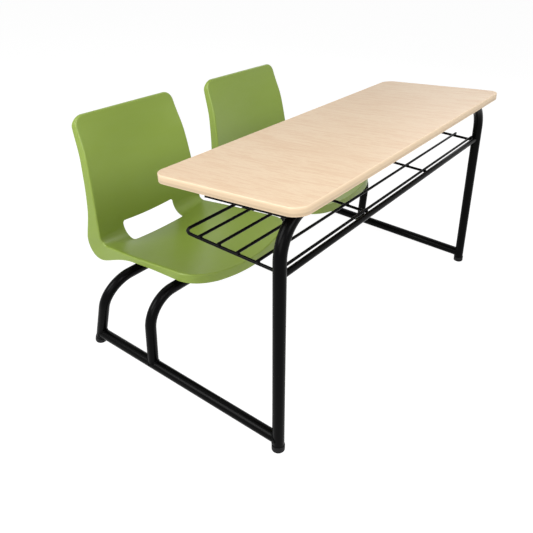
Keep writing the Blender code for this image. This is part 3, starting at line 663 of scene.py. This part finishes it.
class MakeDesktop(bpy.types.Operator):
    """Make the sloping desktop with its laminate, edge band and backing sheet"""
    bl_idname = "desk.make_desktop"
    bl_label = "Desktop"

    corner_steps: number("Corner steps", "Faces round each corner", 18)
    arris_steps: number("Arris steps", "Faces round each arris", 6)

    def execute(self, context):
        t = context.scene.desk_top
        top = TopPlace(context.scene)
        place = frame_at(top.middle, ALONG, top.rear, top.up)
        levels = [(t.arris * (1 - sin(turn)), -t.arris * (1 - cos(turn)))
                  for turn in turns(0, pi / 2, self.arris_steps)]
        levels += [(t.under_arris * (1 - cos(turn)), -t.thickness + t.under_arris * (1 - sin(turn)))
                   for turn in turns(0, pi / 2, self.arris_steps)]
        finishes = ["maple_top_face", "maple_edge", "backing_sheet"]
        bm = bmesh.new()
        uv = bm.loops.layers.uv.new("UVMap")
        rings = [corners(bm, self.outline(t, inset, height), place) for inset, height in levels]
        bridge(bm, rings)
        for face in bm.faces:
            face.material_index = finishes.index("maple_edge")
        bm.faces.new(rings[0]).material_index = finishes.index("maple_top_face")
        bm.faces.new(rings[-1][::-1]).material_index = finishes.index("backing_sheet")
        bmesh.ops.recalc_face_normals(bm, faces=bm.faces)
        inverse = place.inverted()
        for face in bm.faces:
            for loop in face.loops:
                local = inverse @ loop.vert.co
                loop[uv].uv = (local.x + local.y, 1 + local.z / t.thickness)
        add_piece("desktop_panel", bm, finishes, ["desktop"], sharp=radians(70))
        return {"FINISHED"}

    def outline(self, t, inset, height):
        """One outline of the panel, moved in by inset all round."""
        points = []
        for quarter, (sx, sy) in enumerate(((1, 1), (-1, 1), (-1, -1), (1, -1))):
            centre = Vector((sx * (t.length / 2 - t.corner), sy * (t.depth / 2 - t.corner), height))
            start = pi / 2 * quarter
            points += [centre + (t.corner - inset) * Vector((cos(turn), sin(turn), 0))
                       for turn in turns(start, start + pi / 2, self.corner_steps)]
        return points


class MakeArms(bpy.types.Operator):
    """Finish the two square arms below the desktop and their end caps"""
    bl_idname = "desk.make_arms"
    bl_label = "Desktop Arms"

    def execute(self, context):
        for side in SIDES:
            self.dress("top_arm_" + side, "black_powder_coat")
            self.dress("arm_cap_" + side, "black_cap_plastic")
        return {"FINISHED"}

    def dress(self, cad_node, key):
        """Gives a CAD node that stays its finish."""
        mesh = NODES[cad_node].data
        mesh.materials.clear()
        mesh.materials.append(finish_for(key))


# Book rack

NUGGET_SHARE = 0.60
NUGGET_FLATTEN = 0.55
ROD_NUGGET_SHARE = 1.15


class MakeRack(bpy.types.Operator):
    """Make the rod, the wires and the small welds of the book rack"""
    bl_idname = "desk.make_rack"
    bl_label = "Book Rack"

    def execute(self, context):
        s = context.scene.desk_frame
        r = context.scene.desk_rack
        front = FrameLines(context.scene).stretcher_y
        rear = front + r.depth
        front_side = front + s.stretcher / 2
        half = r.width / 2
        level = s.stretcher_height - r.drop
        wire_level = level + (r.rod + r.wire) / 2 + GAP
        cross_level = wire_level - r.wire - GAP
        path = [Vector((-half, front, level))]
        path += [Vector((-half + r.corner * (1 + cos(turn)), rear - r.corner * (1 - sin(turn)), level))
                 for turn in turns(pi, pi / 2, BEND_STEPS)]
        path += [Vector((-p.x, p.y, p.z)) for p in reversed(path)]
        add_bar("rack_frame", "_rod", path, r.rod, ROD_SIDES)
        pitch = (r.depth - r.first) / r.wires
        columns = [-r.cross_spacing / 2, r.cross_spacing / 2]
        welds = bmesh.new()
        for k in range(r.wires):
            y = rear - pitch * (k + 1)
            ends = [Vector((sign * (half + r.over), y, wire_level)) for sign in (-1, 1)]
            add_bar("rack_wire_" + str(k + 1), "_rod", ends, r.wire, ROD_SIDES)
            for x in (-half, half):
                self.nugget(welds, Vector((x, y, (level + wire_level) / 2)), r.wire)
            for x in columns:
                self.nugget(welds, Vector((x, y, (cross_level + wire_level) / 2)), r.wire)
        for k, x in enumerate(columns):
            ends = [Vector((x, y, cross_level)) for y in (front, rear)]
            add_bar("rack_cross_wire_" + str(k + 1), "_rod", ends, r.wire, ROD_SIDES)
            for y in (front_side, rear - r.rod / 2):
                self.nugget(welds, Vector((x, y, cross_level)), r.wire)
        for x in (-half, half):
            self.nugget(welds, Vector((x, front_side, level)), r.rod * ROD_NUGGET_SHARE)
        add_piece("rack_welds", welds, ["coated_weld"])
        return {"FINISHED"}

    def nugget(self, bm, centre, bar):
        """A flattened blob of weld where a bar of that diameter crosses another."""
        made = bmesh.ops.create_icosphere(bm, subdivisions=2, radius=bar * NUGGET_SHARE,
                                          matrix=Matrix.Translation(centre))
        for vert in made["verts"]:
            vert.co.z = centre.z + (vert.co.z - centre.z) * NUGGET_FLATTEN


# Seats

PAN_CLEAR = 0.001
PAN_FRONT = 0.1154
PAN_REAR = 0.3824
BACK_LENGTH = 0.4635
BACK_RECLINE = radians(10.4)
HEEL_RADIUS = 0.0605
WIDTH_TOP = 0.4420
WIDTH_BACK = 0.4730
WIDTH_WAIST = 0.5040
WIDTH_HEEL = 0.4982
WIDTH_PAN = 0.5173
DISH = 0.0316
DISH_BACK = 0.0275
DISH_TOP = 0.001
DISH_HEEL = 0.0325
DISH_RUN = 0.150
DISH_POWER = 1.91
BACK_CORNER = 0.036
FRONT_CORNER = 0.105
FRONT_BOW = 0.0126
FRONT_POWER = 2.7
EDGE_RADIUS = 0.005
FLANGE_TOP = 0.008
FLANGE_BACK = 0.021
FLANGE_WAIST = 0.037
FLANGE_HEEL_TOP = 0.063
FLANGE_HEEL = 0.076
FLANGE_HEEL_END = 0.051
FLANGE_PAN = 0.0195
FLANGE_FRONT = 0.031
FLANGE_FLARE = radians(4.0)
WAIST_RUN = 0.100
FLANGE_RUN = 0.130
OPENING_WIDTH = 0.2514
OPENING_HEIGHT = 0.079
OPENING_RISE = 0.0065
OPENING_CORNER = 0.010
OPENING_CLEAR = 0.018
OPENING_SEARCH = 0.05
OPENING_HALVINGS = 40
SADDLE_X = 0.080
SADDLE_WIDTH = 0.030
SADDLE_DEPTH = 0.046
SADDLE_LOW = 0.008
SADDLE_STEPS = 16
WALL_STRETCH = 2.5


def blend(value, stations):
    """A smooth curve through (place, amount) stations, level at its ends."""
    if value <= stations[0][0]:
        return stations[0][1]
    if value >= stations[-1][0]:
        return stations[-1][1]
    slopes = [0.0]
    for (start, low), (end, high) in zip(stations, stations[2:]):
        slopes.append((high - low) / (end - start))
    slopes.append(0.0)
    k = max(i for i in range(len(stations) - 1) if value >= stations[i][0])
    (start, low), (end, high) = stations[k], stations[k + 1]
    length = end - start
    t = (value - start) / length
    rise = (3 - 2 * t) * t * t
    leave = t * (1 - t) ** 2 * slopes[k] * length
    arrive = t * t * (t - 1) * slopes[k + 1] * length
    return low + (high - low) * rise + leave + arrive


class Row(NamedTuple):
    """A row across the shell: its run at mid-width and at the side, its half width, and the
    outward direction at the side as shares across and onward."""
    middle: float
    side: float
    half: float
    out: tuple

    def run(self, share):
        return self.middle + (self.side - self.middle) * share * share


class ShellForm:
    """The form of one seat: its side outline, widths, dish and turned-over edge. A run is a length
    along the outline from the top of the back over the heel to the front of the pan."""

    def __init__(self, scene, lines):
        s = scene.desk_frame
        self.front_beam = Vector((0, lines.post_y, s.post_height))
        rear_beam = Vector((0, lines.rear_y + s.rear_height * tan(s.rear_lean), s.rear_height))
        self.rearward = (rear_beam - self.front_beam).normalized()
        self.up = ALONG.cross(self.rearward)
        self.beam_gap = (rear_beam - self.front_beam).length
        self.tube_radius = lines.radius
        self.level = lines.radius + PAN_CLEAR + scene.desk_seats.wall
        self.back_up = Vector((0, sin(BACK_RECLINE), cos(BACK_RECLINE)))
        self.back_forward = ALONG.cross(self.back_up)
        turn = acos(self.rearward.dot(self.back_up))
        self.reach = HEEL_RADIUS * tan(turn / 2)
        self.corner = self.front_beam + self.up * self.level + self.rearward * PAN_REAR
        self.centre = self.corner - self.rearward * self.reach + self.up * HEEL_RADIUS
        self.back_run = BACK_LENGTH - self.reach
        self.heel_end = self.back_run + HEEL_RADIUS * turn
        pan_run = PAN_REAR + PAN_FRONT - self.reach
        self.total = self.heel_end + pan_run
        mid_heel = (self.back_run + self.heel_end) / 2
        mid_pan = mid_heel + pan_run / 2
        self.widths = [(0, WIDTH_TOP), (self.back_run / 2, WIDTH_BACK), (self.back_run, WIDTH_WAIST),
                       (mid_heel, WIDTH_HEEL), (mid_pan, WIDTH_PAN)]
        self.dishes = [(0, DISH_TOP), (DISH_RUN, DISH_BACK), (mid_heel, DISH_HEEL), (mid_pan, DISH)]
        self.flanges = [(0, FLANGE_TOP), (BACK_CORNER, FLANGE_BACK),
                        (self.back_run - WAIST_RUN, FLANGE_WAIST), (self.back_run, FLANGE_HEEL_TOP),
                        (mid_heel, FLANGE_HEEL), (self.heel_end, FLANGE_HEEL_END),
                        (self.heel_end + FLANGE_RUN, FLANGE_PAN), (self.total, FLANGE_FRONT)]

    def profile(self, run):
        """The point, the onward and the sitterward direction of the outline at a run."""
        if run <= self.back_run:
            return self.corner + self.back_up * (BACK_LENGTH - run), -self.back_up, self.back_forward
        if run <= self.heel_end:
            turn = Matrix.Rotation(-(run - self.back_run) / HEEL_RADIUS, 3, "X")
            inward = turn @ self.back_forward
            return self.centre - inward * HEEL_RADIUS, turn @ -self.back_up, inward
        on = run - self.heel_end
        return self.corner - self.rearward * (self.reach + on), -self.rearward, self.up

    def half(self, run):
        return blend(run, self.widths) / 2 - EDGE_RADIUS

    def point(self, x, run):
        """A point of the sitter's side of the shell."""
        point, onward, inward = self.profile(run)
        lift = blend(run, self.dishes) * abs(x / self.half(run)) ** DISH_POWER
        return point + ALONG * x + inward * lift

    def row_point(self, row, share):
        return self.point(row.half * share, row.run(share))

    def edge_point(self, row, share, out, turn, depth):
        """A point of the turned-over edge: turn goes round its bend, depth down its flat part."""
        onward, inward = self.profile(row.run(share))[1:]
        outward = ALONG * out[0] + onward * out[1]
        bend = EDGE_RADIUS * (outward * sin(turn) - inward * (1 - cos(turn)))
        down = depth * (outward * sin(FLANGE_FLARE) - inward * cos(FLANGE_FLARE))
        return self.row_point(row, share) + bend + down

    def rows(self, corner_steps, back_steps, heel_steps, pan_steps, front_steps):
        """The rows from the top of the back, whose corners are arcs, to the bowed front."""
        rows = []
        corner = BACK_CORNER - EDGE_RADIUS
        for turn in turns(0, pi / 2, corner_steps)[:-1]:
            run = EDGE_RADIUS + corner * (1 - cos(turn))
            rows.append(Row(run, run, self.half(run) - corner * (1 - sin(turn)), (sin(turn), -cos(turn))))
        front = self.total - EDGE_RADIUS
        depth = FRONT_CORNER - EDGE_RADIUS
        for start, end, steps in ((BACK_CORNER, self.back_run, back_steps),
                                  (self.back_run, self.heel_end, heel_steps),
                                  (self.heel_end, front - depth, pan_steps)):
            rows += [Row(run, run, self.half(run), (1, 0)) for run in turns(start, end, steps)[:-1]]
        full = self.half(front)
        last = acos(min(1, (1 - FRONT_BOW / depth) ** (FRONT_POWER / 2)))
        for k, turn in enumerate(turns(pi / 2, last, front_steps)):
            half = full * sin(turn) ** (2 / FRONT_POWER)
            reach = depth * cos(turn) ** (2 / FRONT_POWER)
            out = Vector((depth * (half / full) ** (FRONT_POWER - 1),
                          full * (reach / depth) ** (FRONT_POWER - 1))).normalized()
            middle = front - depth + depth * k / front_steps
            rows.append(Row(middle, front - depth + reach, half, (out.x, out.y)))
        return rows

    def opening_run(self, x, height):
        """The run at which the shell crosses a height measured up the middle of the heel."""
        through = (self.corner - self.centre).normalized()
        up = ALONG.cross(through)
        low, high = self.back_run - OPENING_SEARCH, self.heel_end + OPENING_SEARCH
        for _ in range(OPENING_HALVINGS):
            run = (low + high) / 2
            if (self.point(x, run) - self.centre).dot(up) > height + OPENING_RISE:
                low = run
            else:
                high = run
        return (low + high) / 2


class MakeSeats(bpy.types.Operator):
    """Make the two moulded seat shells"""
    bl_idname = "desk.make_seats"
    bl_label = "Seats"

    columns: number("Columns", "Faces across a shell", 48)
    corner_steps: number("Corner steps", "Rows round the upper corners", 12)
    back_steps: number("Back steps", "Rows down the back", 26)
    heel_steps: number("Heel steps", "Rows round the heel", 16)
    pan_steps: number("Pan steps", "Rows along the pan", 24)
    front_steps: number("Front steps", "Rows round the front corners", 22)
    edge_steps: number("Edge steps", "Faces round the turned edge", 7)
    skirt_steps: number("Skirt steps", "Faces down the skirt", 4)
    opening_loops: number("Opening loops", "Rings of faces round the opening", 5)

    def execute(self, context):
        scene = context.scene
        seats = scene.desk_seats
        form = ShellForm(scene, FrameLines(scene))
        for side, sign in SIDES.items():
            bm = self.shell(form)
            bmesh.ops.recalc_face_normals(bm, faces=bm.faces)
            self.face_sitter(bm, form)
            self.thicken(bm, seats.wall)
            self.saddles(bm, form, seats.wall)
            bmesh.ops.translate(bm, verts=bm.verts, vec=ALONG * sign * seats.spacing / 2)
            name = "seat_shell_" + side
            piece = add_piece(name + "_moulding", bm, ["green_moulded_plastic"], [name],
                              sharp=radians(75))
            rim = piece.modifiers.new("rim", "BEVEL")
            rim.width = seats.rim
            rim.segments = 3
            rim.limit_method = "ANGLE"
            rim.angle_limit = radians(60)
            rim.harden_normals = True
        return {"FINISHED"}

    def shell(self, form):
        """The sitter's side of the shell with its opening and turned-over edge, as one open surface."""
        columns = self.columns
        rows = form.rows(self.corner_steps, self.back_steps, self.heel_steps, self.pan_steps,
                         self.front_steps)
        bm = bmesh.new()
        grid = [corners(bm, [form.row_point(row, 2 * k / columns - 1) for k in range(columns + 1)])
                for row in rows]
        first_row, last_row, margin = self.patch(form, rows)
        for i, (upper, lower) in enumerate(zip(grid, grid[1:])):
            for k in range(columns):
                inside_rows = first_row <= i < last_row
                inside_columns = margin <= k < columns - margin
                if not (inside_rows and inside_columns):
                    bm.faces.new((upper[k], upper[k + 1], lower[k + 1], lower[k]))
        self.opening(bm, form, rows, grid, first_row, last_row, margin)
        self.turned_edge(bm, form, rows, grid)
        loose = [v for v in bm.verts if not v.link_faces]
        bmesh.ops.delete(bm, geom=loose, context="VERTS")
        return bm

    def patch(self, form, rows):
        """Rows and columns round the opening that its rings of faces take up."""
        start = form.opening_run(0, OPENING_HEIGHT / 2) - OPENING_CLEAR
        end = form.opening_run(0, -OPENING_HEIGHT / 2) + OPENING_CLEAR
        first_row = max(i for i, row in enumerate(rows) if row.middle <= start)
        last_row = min(i for i, row in enumerate(rows) if row.middle >= end)
        half = rows[(first_row + last_row) // 2].half
        edge_share = (OPENING_WIDTH / 2 + OPENING_CLEAR) / half
        return first_row, last_row, int((1 - edge_share) * self.columns / 2)

    def opening(self, bm, form, rows, grid, first_row, last_row, margin):
        """Rings of faces between the square frame in the grid and the opening's outline."""
        columns = self.columns
        right = columns - margin
        frame_spots = [(first_row, k) for k in range(margin, right)]
        frame_spots += [(i, right) for i in range(first_row, last_row)]
        frame_spots += [(last_row, k) for k in range(right, margin, -1)]
        frame_spots += [(i, margin) for i in range(last_row, first_row, -1)]
        places = []
        for i, k in frame_spots:
            across = (k - columns / 2) / (columns / 2 - margin)
            down = 2 * (i - first_row) / (last_row - first_row) - 1
            x = rows[i].half * (2 * k / columns - 1)
            hole_x, hole_height = self.on_outline(across, -down)
            places.append((x, rows[i].middle, hole_x, form.opening_run(hole_x, hole_height)))
        rings = [[grid[i][k] for i, k in frame_spots]]
        for step in range(1, self.opening_loops + 1):
            share = step / self.opening_loops
            rings.append(corners(bm, [form.point(x + (hole_x - x) * share, run + (hole_run - run) * share)
                                      for x, run, hole_x, hole_run in places]))
        bridge(bm, rings)

    def on_outline(self, across, up):
        """The point of the opening's rounded outline that goes with a point of its square frame."""
        point = Vector((across * OPENING_WIDTH / 2, up * OPENING_HEIGHT / 2))
        inner = Vector((OPENING_WIDTH / 2 - OPENING_CORNER, OPENING_HEIGHT / 2 - OPENING_CORNER))
        if abs(point.x) > inner.x and abs(point.y) > inner.y:
            centre = Vector((inner.x if point.x > 0 else -inner.x, inner.y if point.y > 0 else -inner.y))
            point = centre + (point - centre).normalized() * OPENING_CORNER
        return point.x, point.y

    def turned_edge(self, bm, form, rows, grid):
        """The bend and the skirt all round the shell."""
        shares = [2 * k / self.columns - 1 for k in range(self.columns + 1)]
        loop = [(vert, rows[0], share, (0, -1)) for vert, share in zip(grid[0][1:-1], shares[1:-1])]
        loop += [(line[-1], row, 1, row.out) for line, row in zip(grid, rows)]
        across, onward = rows[-1].out
        for vert, share in zip(grid[-1][-2:0:-1], shares[-2:0:-1]):
            out = Vector((across * share, 1 + (onward - 1) * abs(share))).normalized()
            loop.append((vert, rows[-1], share, (out.x, out.y)))
        loop += [(line[0], row, -1, (-row.out[0], row.out[1]))
                 for line, row in zip(reversed(grid), reversed(rows))]
        rings = [[vert for vert, row, share, out in loop]]
        for turn in turns(0, pi / 2, self.edge_steps)[1:]:
            rings.append(corners(bm, [form.edge_point(row, share, out, turn, 0)
                                      for vert, row, share, out in loop]))
        depths = [blend(row.run(share), form.flanges) - EDGE_RADIUS for vert, row, share, out in loop]
        for k in range(1, self.skirt_steps + 1):
            down = k / self.skirt_steps
            rings.append(corners(bm, [form.edge_point(row, share, out, pi / 2, depth * down)
                                      for (vert, row, share, out), depth in zip(loop, depths)]))
        bridge(bm, rings)

    def face_sitter(self, bm, form):
        """Turns all faces so that their normals point to the sitter."""
        middle = form.point(0, form.back_run / 2)
        nearest = min(bm.faces, key=lambda f: (f.calc_center_median() - middle).length)
        if nearest.normal.dot(form.back_forward) < 0:
            bmesh.ops.reverse_faces(bm, faces=bm.faces)
        bm.normal_update()

    def thicken(self, bm, wall):
        """Adds the outer side of the moulding and closes its rims."""
        faces = list(bm.faces)
        loops = [edge.link_loops[0] for edge in bm.edges if edge.is_boundary]
        rims = [(loop.vert, loop.link_loop_next.vert) for loop in loops]
        outer = {}
        for vert in list(bm.verts):
            stretch = min(WALL_STRETCH, vert.calc_shell_factor() or 1.0)
            outer[vert] = bm.verts.new(vert.co - vert.normal * wall * stretch)
        for face in faces:
            bm.faces.new([outer[vert] for vert in reversed(face.verts)])
        for a, b in rims:
            bm.faces.new((b, a, outer[a], outer[b]))

    def saddles(self, bm, form, wall):
        """Four blocks moulded below the pan, hollowed to sit on the two tubes."""
        lift = DISH * (2 * SADDLE_X / WIDTH_PAN) ** DISH_POWER
        high = form.level + lift - wall / 2
        groove = form.tube_radius + GAP
        reach = acos(SADDLE_LOW / groove)
        half = SADDLE_DEPTH / 2
        outline = [(half, SADDLE_LOW), (half, high), (-half, high), (-half, SADDLE_LOW)]
        outline += [(groove * sin(turn), groove * cos(turn)) for turn in turns(-reach, reach, SADDLE_STEPS)]
        for sign in (-1, 1):
            for back in (0, form.beam_gap):
                ends = [sign * SADDLE_X + side * SADDLE_WIDTH / 2 for side in (-1, 1)]
                solid(bm, [[form.front_beam + ALONG * x + form.rearward * (back + on) + form.up * height
                            for on, height in outline] for x in ends])


# Screws

HEAD_FALL = 0.55
CROSS_ARM_SHARE = 0.26
CROSS_SLOT_SHARE = 0.055
CROSS_DEPTH_SHARE = 0.16
CROSS_TAPER = 0.6


class MakeFixings(bpy.types.Operator):
    """Make the screws that hold the seats and the desktop"""
    bl_idname = "desk.make_fixings"
    bl_label = "Screws"

    arm_inset: metres("Arm inset", "Arms in from the desktop's ends", 0.042)
    arm_size: metres("Arm", "Side of the square arms", 0.022)
    arm_end: metres("Last screw", "Last screw behind the desktop's front edge", 0.275)
    arm_clear: metres("First screw", "First screw behind the arch's side", 0.020)
    arm_screws: number("Arm screws", "Screws through each arm", 3)
    sides: number("Sides", "Faces round a screw", 32)
    circles: number("Circles", "Rings of faces over a head", 9)

    def execute(self, context):
        scene = context.scene
        lines = FrameLines(scene)
        form = ShellForm(scene, lines)
        top = TopPlace(scene)
        t = scene.desk_top
        for side, sign in SIDES.items():
            seat_x = sign * scene.desk_seats.spacing / 2
            spots = [(saddle, back) for saddle in (-1, 1) for back in (0, form.beam_gap)]
            for k, (saddle, back) in enumerate(spots):
                seat = form.front_beam + form.rearward * back - form.up * (lines.radius + GAP)
                seat += ALONG * (seat_x + saddle * SADDLE_X)
                self.screw(scene, "seat_screw_" + side + "_" + str(k + 1), seat, form.up)
            arm_x = sign * (t.length / 2 - self.arm_inset)
            beam = lines.desk_rise * lines.desk_beam + Vector((0, lines.home, 0))
            first = (beam - top.edge).dot(top.rear) + lines.radius + self.arm_clear
            for k in range(self.arm_screws):
                back = first + (self.arm_end - first) * k / (self.arm_screws - 1)
                seat = top.under(t, arm_x, back, GAP + self.arm_size)
                self.screw(scene, "desktop_screw_" + side + "_" + str(k + 1), seat, top.up)
        return {"FINISHED"}

    def screw(self, scene, cad_node, seat, axis):
        """A pan head with a cross recess, just below seat, whose shank goes up along axis."""
        s = scene.desk_screws
        across = axis.orthogonal().normalized()
        place = frame_at(seat - axis * GAP, across, axis.cross(across), axis)
        shares = [k / self.circles for k in range(1, self.circles + 1)]
        arc = [(s.head / 2 * share, s.head_height * (HEAD_FALL * share ** 3 - 1)) for share in shares]
        dome = turned(arc, self.sides)
        for ring in dome:
            for point in ring:
                point.z += self.recess(point.x, point.y, s.head)
        shank = turned([(s.head / 2, 0), (s.shank / 2, 0), (s.shank / 2, s.head)], self.sides)
        bm = bmesh.new()
        rings = [corners(bm, ring, place) for ring in dome + shank]
        centre = bm.verts.new(place @ (UPWARD * (self.recess(0, 0, s.head) - s.head_height)))
        for k in range(self.sides):
            bm.faces.new((centre, rings[0][(k + 1) % self.sides], rings[0][k]))
        bridge(bm, rings)
        bm.faces.new(rings[-1])
        bmesh.ops.recalc_face_normals(bm, faces=bm.faces)
        add_piece(cad_node + "_turned", bm, ["zinc_plating"], [cad_node], sharp=radians(40))

    def recess(self, x, y, head):
        """Depth of the cross recess at a point of the head."""
        arm = head * CROSS_ARM_SHARE
        near, far = sorted((abs(x), abs(y)))
        if near > head * CROSS_SLOT_SHARE or far > arm:
            return 0
        return head * CROSS_DEPTH_SHARE * (1 - far / arm * CROSS_TAPER)


# Stage

SENSOR_WIDTH = 36
# The side of each square lamp, and where it hangs
LAMPS = {"key": (1.8, (-3.0, 1.2, 2.4)), "side": (1.6, (-3.2, -1.2, 1.6)),
         "front": (2.0, (-0.5, -2.7, 2.75)), "sheen": (1.4, (3.2, 0.4, 2.3))}
LAMP_AIM = Vector((0, 0, 0.4))
FLOOR_IN_ROOM = 0.50
FLOOR_SEEN = 0.20
FLOOR_GLOW = 0.945


class MakeStage(bpy.types.Operator):
    """Set the camera, the soft lamps, the pale floor and the white surroundings"""
    bl_idname = "desk.make_stage"
    bl_label = "Stage"

    def execute(self, context):
        scene = context.scene
        s = scene.desk_stage
        self.camera(scene, s)
        self.surroundings(scene, s)
        self.floor(scene, s)
        for name, (size, place) in LAMPS.items():
            self.lamp(scene, name, getattr(s, name), size, Vector(place))
        scene.view_settings.view_transform = "Standard"
        return {"FINISHED"}

    def camera(self, scene, s):
        data = bpy.data.cameras.new("desk_camera")
        data.sensor_width = SENSOR_WIDTH
        data.lens = s.focal
        data.shift_x, data.shift_y = s.shift
        camera = bpy.data.objects.new("desk_camera", data)
        camera.matrix_world = (Matrix.Translation(s.viewpoint) @ Matrix.Rotation(s.heading, 4, "Z")
                               @ Matrix.Rotation(s.tilt, 4, "X") @ Matrix.Rotation(s.roll, 4, "Z"))
        scene.collection.objects.link(camera)
        scene.camera = camera

    def seen(self, nodes):
        """1 for camera, glossy and transmission rays, and 0 for the rest."""
        ray = nodes.node("ShaderNodeLightPath").outputs
        seen = ray["Is Camera Ray"]
        for kind in ("Is Glossy Ray", "Is Transmission Ray"):
            seen = nodes.node("ShaderNodeMath", seen, ray[kind], operation="MAXIMUM").outputs["Value"]
        return seen

    def surroundings(self, scene, s):
        world = bpy.data.worlds.new("white_room")
        world.use_nodes = True
        nodes = NodeTree(world.node_tree)
        background = nodes.tree.nodes["Background"]
        background.inputs["Color"].default_value = (1, 1, 1, 1)
        strength = nodes.node("ShaderNodeMapRange", self.seen(nodes), To_Min=s.ambient, To_Max=1.0)
        nodes.join(strength.outputs["Result"], background.inputs["Strength"])
        scene.world = world

    def floor(self, scene, s):
        """A floor that keeps shadows and, where it is seen, glows to white."""
        bm = bmesh.new()
        bmesh.ops.create_grid(bm, x_segments=1, y_segments=1, size=s.floor / 2)
        mesh = bpy.data.meshes.new("floor")
        bm.to_mesh(mesh)
        bm.free()
        pale = Finish("pale_floor")
        room, shadowed = [pale.node("ShaderNodeBsdfDiffuse", Color=(grey, grey, grey, 1)).outputs["BSDF"]
                          for grey in (FLOOR_IN_ROOM, FLOOR_SEEN)]
        glow = pale.node("ShaderNodeEmission", Strength=FLOOR_GLOW).outputs["Emission"]
        lit = pale.node("ShaderNodeAddShader", shadowed, glow).outputs["Shader"]
        choice = pale.node("ShaderNodeMixShader", self.seen(pale), room, lit).outputs["Shader"]
        pale.node("ShaderNodeOutputMaterial", choice)
        mesh.materials.append(pale.material)
        floor = bpy.data.objects.new("floor", mesh)
        scene.collection.objects.link(floor)

    def lamp(self, scene, name, power, size, place):
        data = bpy.data.lights.new(name, "AREA")
        data.shape = "SQUARE"
        data.size = size
        data.energy = power
        lamp = bpy.data.objects.new(name, data)
        lamp.visible_camera = False
        lamp.location = place
        lamp.rotation_euler = (LAMP_AIM - place).to_track_quat("-Z", "Y").to_euler()
        scene.collection.objects.link(lamp)


class DeskPanel(bpy.types.Panel):
    """Lists the desk's pieces and their settings"""
    bl_label = "School Desk"
    bl_idname = "VIEW3D_PT_school_desk"
    bl_space_type = "VIEW_3D"
    bl_region_type = "UI"
    bl_category = "School Desk"

    def draw(self, context):
        layout = self.layout
        for maker in MAKERS:
            layout.operator(maker.bl_idname)
        for group, kind in GROUPS.items():
            box = layout.box()
            box.label(text=kind.__doc__)
            for name in kind.__annotations__:
                box.prop(getattr(context.scene, group), name)


MAKERS = (MakeStage, MakeFrame, MakeFeet, MakeDesktop, MakeArms, MakeRack, MakeSeats, MakeFixings)
GROUPS = {"desk_frame": FrameSettings, "desk_top": DesktopSettings, "desk_rack": RackSettings,
          "desk_seats": SeatSettings, "desk_screws": ScrewSettings, "desk_stage": StageSettings}


def register():
    for group, kind in GROUPS.items():
        bpy.utils.register_class(kind)
        setattr(bpy.types.Scene, group, PointerProperty(type=kind))
    for maker in MAKERS:
        bpy.utils.register_class(maker)
    bpy.utils.register_class(DeskPanel)


def unregister():
    bpy.utils.unregister_class(DeskPanel)
    for maker in reversed(MAKERS):
        bpy.utils.unregister_class(maker)
    for group, kind in GROUPS.items():
        delattr(bpy.types.Scene, group)
        bpy.utils.unregister_class(kind)


def main():
    register()
    bpy.ops.desk.make_stage()
    bpy.ops.desk.make_frame()
    bpy.ops.desk.make_feet()
    bpy.ops.desk.make_desktop()
    bpy.ops.desk.make_arms()
    bpy.ops.desk.make_rack()
    bpy.ops.desk.make_seats()
    bpy.ops.desk.make_fixings()


if __name__ == "__main__":
    main()
